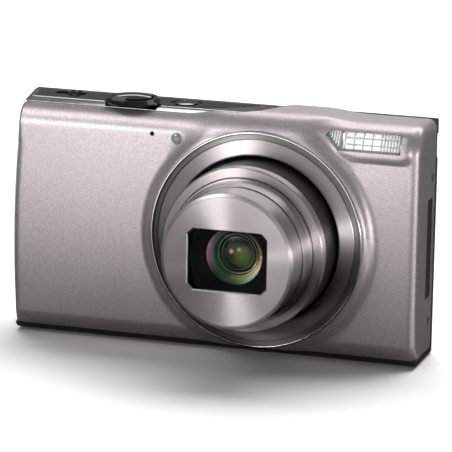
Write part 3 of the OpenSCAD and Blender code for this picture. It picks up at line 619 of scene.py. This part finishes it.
def smooth_max(a, b, k):
    """The larger of two distances, rounded over where they are within k of each other."""
    h = np.maximum(k - np.abs(a - b), 0) / k
    return np.maximum(a, b) + h * h * k / 4


def smooth_min(a, b, k):
    return -smooth_max(-a, -b, k)


def rounded_box_2d(a, b, low, high, radii):
    """Distance to a rectangle whose corners each have their own radius.

    The corners go round from low-low through high-low and high-high to low-high.
    """
    ca, cb = (low[0] + high[0]) / 2, (low[1] + high[1]) / 2
    ha, hb = (high[0] - low[0]) / 2, (high[1] - low[1]) / 2
    pa, pb = a - ca, b - cb
    r = np.where(pb < 0, np.where(pa < 0, radii[0], radii[1]), np.where(pa < 0, radii[3], radii[2]))
    qa, qb = np.abs(pa) - ha + r, np.abs(pb) - hb + r
    return np.minimum(np.maximum(qa, qb), 0) + np.hypot(np.maximum(qa, 0), np.maximum(qb, 0)) - r


def body_distance(x, y, z):
    """Distance to the camera's body, without the collar and the flash's raised surround."""
    section = rounded_box_2d(
        y, z, (BODY_LOW.y, BODY_LOW.z), (BODY_HIGH.y, BODY_HIGH.z), BODY_RADII,
    )
    bow = (z - GRIP_BOW_Z) ** 2 / (2 * GRIP_BOW_RADIUS)
    grip = np.maximum(GRIP_X + bow - math.tan(GRIP_SLANT) * (y - GRIP_Y), BODY_LOW.x)
    left = (grip - x) * math.cos(GRIP_SLANT)
    ends = smooth_max(section, x - BODY_HIGH.x, FLASH_END_ROUNDING)
    edge_rounding = np.interp(z, GRIP_EDGE_Z, GRIP_EDGE_ROUNDING)
    rounded_top = smooth_max(left, z - BODY_HIGH.z, GRIP_TOP_ROUNDING)
    corner_rounding = np.interp(x, GRIP_CORNER_X, GRIP_CORNER_ROUNDING)
    return smooth_max(smooth_max(ends, left, edge_rounding), rounded_top, corner_rounding)


def collar_distance(x, y, z):
    """Distance to the collar, which is cut off where the body's top and base round over."""
    radius = np.hypot(x, z - LENS_Z)
    ahead = np.maximum(COLLAR_FOOT_Y - y, -COLLAR_DEPTH)
    cone = COLLAR_ACROSS * (radius - COLLAR_FOOT_R) + COLLAR_AHEAD * ahead
    face = -y + LIP_Y + COLLAR_SINK
    trim = rounded_box_2d(
        y, z, (LIP_Y - 0.2 * MM, 0.8 * MM), (BODY_HIGH.y, TOP_HIGH - 0.4 * MM), COLLAR_RADII,
    )
    return smooth_max(smooth_max(cone, face, COLLAR_EDGE_ROUNDING), trim, COLLAR_CUT_ROUNDING)


def flash_rim_distance(x, z):
    """Distance, across the front, to the outline of the flash's raised surround."""
    slant_x, slant_z = FLASH_SLANT_AT
    slant = -(x - slant_x) * FLASH_SLANT_ACROSS - (z - slant_z) * FLASH_SLANT_UP
    rim = smooth_max(x - FLASH_RIM_RIGHT, FLASH_RIM_LOW - z, 2.4 * MM)
    rim = smooth_max(rim, slant, 2 * MM)
    rim = smooth_max(rim, z - FLASH_RIM_TOP, 1.2 * MM)
    return smooth_max(rim, 2 * (x - BODY_HIGH.x + 0.9 * MM), 0.5 * MM)


def shell_distance(x, y, z):
    """Distance to the front shell's whole outside, with its soft blends."""
    body = body_distance(x, y, z)
    near_top = np.clip((z - COLLAR_TOP_Z) / COLLAR_TOP_HEIGHT, 0, 1)
    collar_blend = (COLLAR_BLEND + COLLAR_TOP_BLEND * near_top) * MM
    outside = smooth_min(body, collar_distance(x, y, z), collar_blend)
    rim = FLASH_RIM_SLOPE * flash_rim_distance(x, z)
    raised = smooth_max(body - FLASH_RIM_HEIGHT, rim, 0.9 * MM)
    return smooth_min(outside, raised, 0.7 * MM)


def perimeter_points(depth, height, spacing):
    """Points round three sides of a section: along the top, down the front and along the base."""
    across = np.linspace(0, 1, int(depth / spacing))
    down = np.linspace(1, -1, int(height / spacing))
    over = [(a, 1) for a in across]
    front = [(1, d) for d in down[1:]]
    under = [(a, -1) for a in across[::-1][1:]]
    return np.array(over + front + under)


GRID_SPACING = 0.00055
SPINE_INSET = 9 * MM
WALK_STEPS = 70
WALK_SHARE = 0.9


def front_shell_surface(spacing):
    """A grid over the shell's outside, found by walking out from a spine inside the body."""
    split_y = FRONT_HIGH.y
    depth = split_y - BODY_LOW.y
    mid_z = (BODY_LOW.z + BODY_HIGH.z) / 2
    half_h = (BODY_HIGH.z - BODY_LOW.z) / 2
    low_x = BODY_LOW.x + SPINE_INSET
    high_x = BODY_HIGH.x - SPINE_INSET
    sections = perimeter_points(depth, 2 * half_h, spacing)
    columns = []
    end_steps = int(depth / spacing)
    corner_steps = int(SPINE_INSET / spacing)
    for side, spine_x in ((-1, low_x), (1, high_x)):
        sideways = side * SPINE_INSET
        end = [(spine_x, sideways, -depth * k / end_steps) for k in range(end_steps)]
        end += [(spine_x, sideways * (1 - k / corner_steps), -depth) for k in range(corner_steps)]
        columns.append(end)
    span = BODY_HIGH.x - BODY_LOW.x - 2 * SPINE_INSET
    middle_steps = int(span / spacing)
    middle = [(low_x + span * k / middle_steps, 0, -depth) for k in range(middle_steps + 1)]
    grid = np.array(columns[0] + middle + columns[1][::-1])
    start = np.zeros((len(grid), len(sections), 3))
    start[:, :, 0] = grid[:, None, 0]
    start[:, :, 1] = split_y
    start[:, :, 2] = mid_z
    way = np.zeros_like(start)
    way[:, :, 0] = grid[:, None, 1] * sections[None, :, 0]
    way[:, :, 1] = grid[:, None, 2] * sections[None, :, 0]
    way[:, :, 2] = half_h * sections[None, :, 1]
    way /= np.linalg.norm(way, axis=2)[:, :, None]
    point = start + way * 2 * MM
    for _ in range(WALK_STEPS):
        step = -shell_distance(point[:, :, 0], point[:, :, 1], point[:, :, 2])
        point += way * (step * WALK_SHARE)[:, :, None]
    return point


def grid_mesh(name, points):
    """A sheet over a grid of points, with the points that fall together merged."""
    rows, columns = points.shape[:2]
    faces = [
        (i * columns + j, i * columns + j + 1, (i + 1) * columns + j + 1, (i + 1) * columns + j)
        for i in range(rows - 1) for j in range(columns - 1)
    ]
    mesh = new_mesh(name, [tuple(p) for p in points.reshape(-1, 3)], faces)
    bm = bmesh.new()
    bm.from_mesh(mesh)
    bmesh.ops.remove_doubles(bm, verts=bm.verts, dist=0.00002)
    bmesh.ops.recalc_face_normals(bm, faces=bm.faces)
    bm.to_mesh(mesh)
    bm.free()
    return mesh


def shell_gradient(points):
    """Outward direction of the shell's surface at each point."""
    step = 0.01 * MM
    gradient = np.zeros_like(points)
    for axis in range(3):
        shift = np.zeros(3)
        shift[axis] = step
        ahead = points + shift
        behind = points - shift
        gradient[:, axis] = shell_distance(*ahead.T) - shell_distance(*behind.T)
    return gradient / np.linalg.norm(gradient, axis=1)[:, None]


# Openings in the shell, in millimetres: (x, z) in the front, (y, z) in the ends, (x, y) on top.
FLASH_OUTLINE = [
    (19.1, 52), (33.9, 52), (34.18, 52.12), (34.3, 52.4), (34.3, 56.1), (34.18, 56.38), (33.9, 56.5),
    (17, 56.5), (15.8, 55.3),
]
TOP_SEAM = [(-80, -6.72), (-5.9, -6.72), (-1.05, -4.4), (4.6, 8), (-80, 8)]
BASE_SEAM_Z = 2.4
LAMP_AT, LAMP_R = (-20.7, 51.6), 1.38
MICROPHONE_AT, MICROPHONE_R = (-26.9, 52.3), 0.55
SPEAKER_Y, SPEAKER_R = -3, 0.6
SPEAKER_HEIGHTS = (45, 48, 51)
SCREW_R = 1.2
FLASH_END_SCREWS = [(3, 9.5), (3, 44.5)]
GRIP_END_SCREW = (3.4, 53.6)
DOOR_GAP = 0.15
DOOR_Y = (-0.95, 3.9)


def openings_mesh():
    """Everything that is cut out of the front shell, as one mesh of prisms in millimetres."""
    bm = bmesh.new()
    lens_z = LENS_Z / MM
    end = BODY_HIGH.x / MM
    grip = BODY_LOW.x / MM
    door_low, door_high = (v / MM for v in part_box("terminal_cover"))
    door = rectangle((DOOR_Y[0], door_low.z - DOOR_GAP), (DOOR_Y[1], door_high.z + DOOR_GAP))
    prism(bm, circle((0, lens_z), LIP_R / MM + 0.05, 288), along_y, -20, -1)
    prism(bm, FLASH_OUTLINE, along_y, -20, 0)
    prism(bm, circle(LAMP_AT, LAMP_R), along_y, -14, -5)
    prism(bm, circle(MICROPHONE_AT, MICROPHONE_R), along_y, -14, -5)
    prism(bm, door, along_x, end - 4, end + 4)
    for height in SPEAKER_HEIGHTS:
        prism(bm, circle((SPEAKER_Y, height), SPEAKER_R), along_x, grip - 3, grip + 6)
    for screw in FLASH_END_SCREWS:
        prism(bm, circle(screw, SCREW_R), along_x, end - 4, end + 4)
    prism(bm, circle(GRIP_END_SCREW, SCREW_R), along_x, grip - 3, grip + 4)
    prism(bm, TOP_SEAM, along_z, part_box("top_cover")[0].z / MM - 0.1, 70)
    prism(bm, rectangle((-90, -30), (90, 30)), along_z, -10, BASE_SEAM_Z)
    bmesh.ops.recalc_face_normals(bm, faces=bm.faces)
    return mesh_of("openings", bm)


def add_front_shell():
    """The pressed aluminium front with its soft collar, in place of the CAD's plain one."""
    outer = add_object("front_blank", grid_mesh("front_blank", front_shell_surface(GRID_SPACING)))
    cutter = add_object("openings", openings_mesh())
    thicken = outer.modifiers.new("thicken", "SOLIDIFY")
    thicken.thickness = SHELL_THICKNESS
    thicken.offset = -1
    cut = outer.modifiers.new("cut", "BOOLEAN")
    cut.object = cutter
    cut.operation = "DIFFERENCE"
    cut.solver = "EXACT"
    depsgraph = bpy.context.evaluated_depsgraph_get()
    mesh = bpy.data.meshes.new_from_object(outer.evaluated_get(depsgraph))
    for helper in (outer, cutter):
        old = helper.data
        bpy.data.objects.remove(helper)
        bpy.data.meshes.remove(old)
    set_shell_normals(mesh)
    add_piece("front_shell", mesh, "camera_body", "champagne_paint", ["front_cover"])


def set_shell_normals(mesh):
    """Exact normals on the outside of the shell, flat ones on its cut edges and inside."""
    points = np.zeros(len(mesh.vertices) * 3)
    mesh.vertices.foreach_get("co", points)
    points = points.reshape(-1, 3)
    corner_vertex = np.zeros(len(mesh.loops), int)
    mesh.loops.foreach_get("vertex_index", corner_vertex)
    face_normal = np.zeros(len(mesh.polygons) * 3)
    mesh.polygons.foreach_get("normal", face_normal)
    face_normal = face_normal.reshape(-1, 3)
    corners = np.zeros(len(mesh.polygons), int)
    mesh.polygons.foreach_get("loop_total", corners)
    flat = np.repeat(face_normal, corners, axis=0)
    smooth = shell_gradient(points)[corner_vertex]
    outside = np.abs(shell_distance(*points.T))[corner_vertex] < 0.1 * MM
    follows = (np.sum(flat * smooth, axis=1) > 0.7) & outside
    normals = np.where(follows[:, None], smooth, flat)
    mesh.shade_smooth()
    mesh.normals_split_custom_set(normals.tolist())


# The painted seam shadow's middle line from above, and its section, in millimetres.
SEAM_SHADOW_LINE = [(-60.3, -6.59), (-5.95, -6.59), (-1.2, -4.35)]
SEAM_SHADOW_HALF_WIDTH = 0.1
SEAM_SHADOW_SINK = 0.02
SEAM_SHADOW_HEIGHT = 1


def add_top_seam_shadow():
    """A matte black strip set into the seam between the front shell and the top cover, as painted
    shadow in the gap.
    """
    top_r = BODY_RADII[3] / MM
    round_y = BODY_LOW.y / MM + top_r
    verts = []
    for x, y in SEAM_SHADOW_LINE:
        ahead = max(0.0, round_y - y)
        high = TOP_HIGH / MM - top_r + math.sqrt(top_r ** 2 - ahead ** 2) - SEAM_SHADOW_SINK
        low = high - SEAM_SHADOW_HEIGHT
        front, rear = y - SEAM_SHADOW_HALF_WIDTH, y + SEAM_SHADOW_HALF_WIDTH
        for across, z in ((front, high), (rear, high), (rear, low), (front, low)):
            verts.append((x * MM, across * MM, z * MM))
    faces = tube_faces(len(SEAM_SHADOW_LINE), 4)
    faces += [(3, 2, 1, 0), tuple(range(len(verts) - 4, len(verts)))]
    # Painted shadow: a matte black strip where the seam is only in shade.
    add_piece("top_seam_shadow", new_mesh("top_seam_shadow", verts, faces), "camera_body", "matte_black")


# ---------------------------------------------------------------- lens

# Outside radii of the barrels and the depth of the outer one's band, in millimetres.
OUTER_R = 19.8
MIDDLE_R = 17.3
FRONT_R = 16.1
BAND_DEPTH = 2.6


def forward(node, side):
    """How far forward a CAD node's front (side 0) or rear (side 1) lies, in millimetres."""
    return -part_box(node)[side].y / MM


def add_turned(name, body, slot, corners, replaced=(), material=None):
    """A piece turned from an outline of (radius, forward) corners."""
    add_piece(name, turned_mesh(name, corners), body, slot, replaced, material)


def add_lens_rings():
    """The rings that stay with the body: polished lip, dark groove and wide spun ring."""
    front = forward("lens_bezel", 0)
    lip_r = LIP_R / MM
    foot = 8.4
    add_turned("bezel_lip", "camera_body", "polished_silver", [
        (lip_r - 0.55, foot), (lip_r, foot), (lip_r, front, 0.25), (lip_r - 0.55, front, 0.25),
    ], ["lens_bezel"])
    add_turned("bezel_groove", "camera_body", "spun_silver", [
        (24.45, foot), (lip_r - 0.62, foot), (lip_r - 0.62, front - 0.55), (24.45, front - 0.35),
    ], (), GROOVE_METAL)
    add_turned("lens_surround", "camera_body", "spun_silver", [
        (22.6, foot), (24.35, foot), (24.35, front - 0.4, 0.12), (24.1, front - 0.28, 0.1),
        (21.0, front + 0.45, 0.15), (20.7, front + 0.3, 0.1), (20.7, front - 0.6),
        (22.6, front - 1.2),
    ], ["lens_ring"])


def add_barrels():
    """The three barrels, each with the flange it is guided by, in place of the CAD's own."""
    outer_front = forward("barrel_outer_trim", 0)
    middle_front = forward("barrel_middle", 0)
    plate_rear = forward("front_plate", 1)
    band_rear = outer_front - BAND_DEPTH
    add_turned("outer_barrel_wall", "outer_barrel", "dark_barrel", [
        (OUTER_R - 0.9, 7), (OUTER_R + 0.25, 7), (OUTER_R + 0.25, 8.6), (OUTER_R, 8.6),
        (OUTER_R, band_rear), (OUTER_R - 0.9, band_rear),
    ], ["barrel_outer"])
    add_turned("outer_barrel_band", "outer_barrel", "spun_silver", [
        (OUTER_R - 1, band_rear), (OUTER_R, band_rear), (OUTER_R, outer_front, 0.5),
        (MIDDLE_R + 0.2, outer_front, 0.12), (MIDDLE_R + 0.2, outer_front - 0.9),
        (OUTER_R - 1, outer_front - 0.9),
    ], ["barrel_outer_trim"])
    add_turned("middle_barrel_wall", "middle_barrel", "spun_silver", [
        (MIDDLE_R - 0.8, 12), (OUTER_R - 1, 12), (OUTER_R - 1, 13.4), (MIDDLE_R, 13.4),
        (MIDDLE_R, middle_front - 3.4, 0.1), (16.9, middle_front - 3.4),
        (16.8, middle_front - 1.8, 1), (16.62, middle_front - 0.7, 1), (16.4, middle_front, 0.08),
        (16.25, middle_front, 0.05), (16.25, middle_front - 4), (MIDDLE_R - 0.8, middle_front - 4),
    ], ["barrel_middle"])
    add_turned("front_barrel_wall", "front_barrel", "spun_silver", [
        (FRONT_R - 0.9, 20), (FRONT_R + 0.27, 20), (FRONT_R + 0.27, 20.9), (FRONT_R, 20.9),
        (FRONT_R, plate_rear - 0.1), (FRONT_R - 0.9, plate_rear - 0.1),
    ], ["barrel_front"])


BOWL_SEGMENTS = 192


def bowl_mesh(name, rings):
    """A sheet turned about the lens axis from open (radius, forward) points in millimetres."""
    verts = []
    for r, y in rings:
        for x, z in circle((0, 0), r, BOWL_SEGMENTS):
            verts.append((x * MM, -y * MM, LENS_Z + z * MM))
    mesh = new_mesh(name, verts, tube_faces(len(rings), BOWL_SEGMENTS))
    mesh.shade_smooth()
    return mesh


def add_inner_glass(name, mesh, material):
    add_piece(name, mesh, "front_barrel", "lens_glass", (), material)


def add_lens_insides():
    """The coated glasses that show behind the front glass, with the rims that hold them."""
    glass_front = forward("front_lens", 0)
    bowl = [(7.35 - 0.38 * k, glass_front - 0.9 - 0.33 * k - 0.02 * k * k) for k in range(8)]
    add_inner_glass("coated_bowl", bowl_mesh("coated_bowl", bowl), LENS_COATING_PAINTED_REFLECTIONS)
    rim_radii = (7.5, 6.5, 5.7, 4.75, 3.9)
    rim_depths = (0.55, 1.5, 2.1, 3.0, 3.4)
    rim_halves = (0.1, 0.05, 0.06, 0.08, 0.05)
    for number, (r, depth, half) in enumerate(zip(rim_radii, rim_depths, rim_halves)):
        y = glass_front - depth
        corners = rectangle((r - half, y - half), (r + half, y + half))
        name = f"glass_rim_{number + 1}"
        add_inner_glass(name, turned_mesh(name, corners, half * 0.8, 160), GLASS_RIM)
    dome_r, dome_rise, dome_edge = 4.7, 0.95, glass_front - 4.75
    dome = [
        (dome_r * math.sin(a), dome_edge + dome_rise * math.cos(a))
        for a in np.linspace(math.pi / 2, 0.02, 12)
    ]
    add_inner_glass("deep_glass", bowl_mesh("deep_glass", dome), DEEP_GLASS_PAINTED_GLINTS)


def add_window_edge():
    """The bright bevel round the eight-sided window in the front plate."""
    front = forward("front_plate", 0)
    lens_z = LENS_Z / MM
    half_w, half_h, cut = 9.8, 7.45, 1.5
    # Each level of the bevel is (how far outwards, how far forward of the plate).
    levels = [(0.02, -0.02), (-0.02, 0.0), (-0.3, -0.28), (-0.34, -0.9)]

    def outline(grow):
        a, b, c = half_w + grow, half_h + grow, cut + grow * 0.41
        return [
            (-a + c, -b), (a - c, -b), (a, -b + c), (a, b - c),
            (a - c, b), (-a + c, b), (-a, b - c), (-a, -b + c),
        ]

    verts = []
    for grow, lift in levels:
        for x, z in outline(grow):
            verts.append((x * MM, -(front + lift) * MM, (lens_z + z) * MM))
    mesh = new_mesh("window_edge", verts, tube_faces(len(levels), 8))
    add_piece("window_edge", mesh, "front_barrel", "polished_silver", (), EDGE_METAL)


# ---------------------------------------------------------------- flash

def flash_depth(z, below):
    """Where the body's front lies at a height, in millimetres, less a depth below its surface."""
    top_r = BODY_RADII[3] / MM
    rise = max(0.0, z - (TOP_HIGH / MM - top_r))
    return BODY_LOW.y / MM + top_r - math.sqrt((top_r - below) ** 2 - rise ** 2)


# Edges of the prisms, in millimetres, and the tops of those in the window's slanted tip.
PRISM_ROWS = [52.25, 53.45, 54.9, 56.2]
PRISM_COLUMNS = [19.9, 20.5, 22.7, 24.9, 27.1, 29.3] + [29.3 + 0.75 * k for k in range(1, 7)]
PRISM_GAP = 0.1
TIP_TOPS = [56.25, 56.3, 56.3, 56.3, 56.3]


def add_flash_prisms():
    """Rows of small prisms inside the flash window, closer together towards both of its ends."""
    bm = bmesh.new()
    for x0, x1 in zip(PRISM_COLUMNS, PRISM_COLUMNS[1:]):
        for z0, z1 in zip(PRISM_ROWS, PRISM_ROWS[1:]):
            low = (x0 + PRISM_GAP, z0 + PRISM_GAP)
            high = (x1 - PRISM_GAP, z1 - PRISM_GAP)
            add_prism_cell(bm, low, high, 0.3)
    for number, top in enumerate(TIP_TOPS):
        x = 16.3 + 0.6 * number
        add_prism_cell(bm, (x, 55.2 - 0.6 * number), (x + 0.42, top), 0.25)
    mesh = mesh_of("flash_prisms", bm)
    add_piece("flash_prisms", mesh, "camera_body", "clear_plastic", (), FLASH_PLASTIC)


PRISM_SLOPE = 0.16


def add_prism_cell(bm, low, high, depth):
    """One pillow-shaped prism: a raised middle with sloping edges, closed at the back."""
    loops = []
    for inset, below in ((0, depth + 0.7), (0, depth + 0.3), (PRISM_SLOPE, depth)):
        outline = rectangle((low[0] + inset, low[1] + inset), (high[0] - inset, high[1] - inset))
        loops.append([bm.verts.new((x * MM, flash_depth(z, below) * MM, z * MM)) for x, z in outline])
    for a, b in zip(loops, loops[1:]):
        for k in range(4):
            bm.faces.new((a[k - 1], a[k], b[k], b[k - 1]))
    bm.faces.new(loops[-1])
    bm.faces.new(loops[0][::-1])


# ---------------------------------------------------------------- stage, lights and camera

TARGET = Vector((-11.2, 0, 28.9)) * MM
AZIMUTH, ELEVATION, ROLL = (math.radians(a) for a in (17.63, 13.35, 1.0))
DISTANCE = 0.7518
FOCAL_MM = 248.2
SENSOR_MM = 36


def add_camera():
    """The view from the flash end and a little above, rolled very slightly."""
    right = Vector((math.cos(AZIMUTH), math.sin(AZIMUTH), 0))
    back = Vector((
        math.sin(AZIMUTH) * math.cos(ELEVATION),
        -math.cos(AZIMUTH) * math.cos(ELEVATION),
        math.sin(ELEVATION),
    ))
    up = back.cross(right)
    turned_right = right * math.cos(ROLL) + up * math.sin(ROLL)
    turned_up = up * math.cos(ROLL) - right * math.sin(ROLL)
    data = bpy.data.cameras.new("view")
    data.lens = FOCAL_MM
    data.sensor_width = SENSOR_MM
    data.clip_start = 0.01
    data.clip_end = 20
    camera = add_object("view", data)
    camera.matrix_world = Matrix.Translation(TARGET + back * DISTANCE) @ Matrix((
        (turned_right.x, turned_up.x, back.x, 0),
        (turned_right.y, turned_up.y, back.y, 0),
        (turned_right.z, turned_up.z, back.z, 0),
        (0, 0, 0, 1),
    ))
    bpy.context.scene.camera = camera


def add_light(name, data, place, aim, in_reflections):
    light = add_object(name, data)
    light.location = place
    light.rotation_euler = (Vector(aim) - Vector(place)).to_track_quat("-Z", "Y").to_euler()
    light.visible_camera = False
    light.visible_glossy = in_reflections


def add_softbox(name, place, size, power, aim=TARGET, in_reflections=True):
    data = bpy.data.lights.new(name, "AREA")
    data.shape = "RECTANGLE"
    data.size, data.size_y = size
    data.energy = power
    add_light(name, data, place, aim, in_reflections)


def add_spot(name, place, aim, degrees, power):
    """A narrow spot that lights one small place and does not show in reflections."""
    data = bpy.data.lights.new(name, "SPOT")
    data.energy = power
    data.spot_size = math.radians(degrees)
    data.spot_blend = 0.6
    data.shadow_soft_size = 0.01
    add_light(name, data, place, aim, in_reflections=False)


def add_card(name, corners, material):
    """A card that only reflections see."""
    mesh = new_mesh(name, corners, [(0, 1, 2, 3)])
    mesh.materials.append(material)
    card = add_object(name, mesh)
    card.visible_camera = False
    card.visible_shadow = False
    card.visible_diffuse = False


def add_flag(name, corners, glow=0.0):
    """A dark card that keeps the pale stage out of the metal."""
    s = Surface(name, (0.012, 0.011, 0.011), 0.0, 0.9, 0.0)
    s.vary_colour(s.noise(0.05), 0.1)
    s.set(Emission_Color=(1, 1, 1, 1), Emission_Strength=glow)
    add_card(name, corners, s.material)


def add_stage():
    """A pale floor that curves up into a pale wall far behind."""
    front_y, bend_y, bend_r, wall_top, half_width = -3.0, 2.0, 1.0, 3.5, 4.0
    bend = [math.radians(degrees) for degrees in range(10, 91, 10)]
    rows = [(front_y, 0.0), (bend_y, 0.0)]
    rows += [(bend_y + bend_r * math.sin(a), bend_r - bend_r * math.cos(a)) for a in bend]
    rows.append((bend_y + bend_r, wall_top))
    verts = [(x, y, z) for y, z in rows for x in (-half_width, half_width)]
    faces = [(2 * i, 2 * i + 1, 2 * i + 3, 2 * i + 2) for i in range(len(rows) - 1)]
    mesh = new_mesh("floor", verts, faces)
    mesh.shade_smooth()
    floor = add_object("floor", mesh)
    s = Surface("floor", (0.86, 0.86, 0.865), 0.0, 0.75)
    s.vary_colour(s.noise(0.5), 0.01)
    mesh.materials.append(s.material)


def add_world():
    world = bpy.data.worlds.new("studio")
    world.use_nodes = True
    background = world.node_tree.nodes["Background"]
    background.inputs["Color"].default_value = (1, 1, 1, 1)
    background.inputs["Strength"].default_value = 0.12
    bpy.context.scene.world = world


CARD_GLOW = 2.45
EDGE_BAND_BEARING = -0.31
EDGE_BAND_GLOW = 1.5


def on_floor(low, high, lift):
    """Corners of a card that lies on the floor, lifted a hair clear of it."""
    return [(x, y, lift) for x, y in rectangle(low, high)]


def add_bounce_card():
    """A lit card on the floor ahead of the object.

    It fades towards the object and towards both sides. A narrow extra band runs out from the
    object's front corner at the flash end, and lights that edge.
    """
    s = Surface("bounce_card", (0, 0, 0), 0.0, 1.0, 0.0)
    ahead = s.ramp(s.axis("Y"), -0.10, -0.185, 0.0, CARD_GLOW)
    skew = s.math("SUBTRACT", s.axis("X"), s.math("MULTIPLY", s.axis("Y"), 0.475))
    left = s.ramp(skew, -0.075, -0.035, 0.05, 1.0)
    right = s.ramp(s.axis("X"), -0.06, 0.03, 1.0, 0.28)
    front = s.math("MULTIPLY", ahead, s.math("MULTIPLY", left, right))
    bearing = s.math("ARCTAN2", s.axis("Y"), s.math("SUBTRACT", s.axis("X"), BODY_HIGH.x))
    off_band = s.math("ABSOLUTE", s.math("SUBTRACT", bearing, EDGE_BAND_BEARING))
    band = s.ramp(off_band, 0.15, 0.05, 0.0, EDGE_BAND_GLOW)
    s.links.new(s.math("ADD", front, band), s.shader.inputs["Emission Strength"])
    s.set(Emission_Color=(1.0, 0.985, 0.98, 1))
    add_card("bounce_card", on_floor((-0.8, -1.0), (0.6, 0.03), 0.0008), s.material)


def add_lights():
    """Soft boxes by place, size, power and aim, then the spots, the lit card and the flags."""
    middle = (0, 0, 0.03)
    add_softbox("front_left", (-0.24, -0.5, 0.17), (0.16, 0.12), 0.4, middle)
    add_softbox("upper", (-0.3, -0.34, 0.5), (0.3, 0.25), 0.65)
    add_softbox("right_strip", (0.42, -0.3, 0.03), (0.3, 0.05), 0.4, middle)
    add_softbox("back", (0.1, 0.5, 0.75), (0.9, 0.4), 2.0)
    add_softbox("back_strip", (-0.1, 0.44, 0.215), (0.5, 0.03), 0.1)
    add_softbox("backdrop", (0, 0.9, 1.5), (2.5, 1.2), 60, (0, 0.6, 0), in_reflections=False)
    add_spot("lens_spot", (-0.12, -0.36, 0.13), (0, -0.03, LENS_Z), 3.0, 9)
    add_spot("flash_spot", (-0.08, -0.4, 0.16), (0.0262, -0.008, 0.0543), 3.4, 5)
    add_bounce_card()
    add_flag("flag_right", on_floor((0.04, -0.3), (0.6, 0.5), 0.0006))
    upright = [(x, 0.45, z) for x, z in rectangle((-0.9, 0), (0.9, 0.42))]
    add_flag("flag_back", upright, 0.12)


bpy.context.scene.view_settings.view_transform = "Standard"
dress_frame()
add_front_shell()
add_top_seam_shadow()
add_lens_rings()
add_barrels()
add_lens_insides()
add_window_edge()
add_flash_prisms()
add_stage()
add_world()
add_lights()
add_camera()
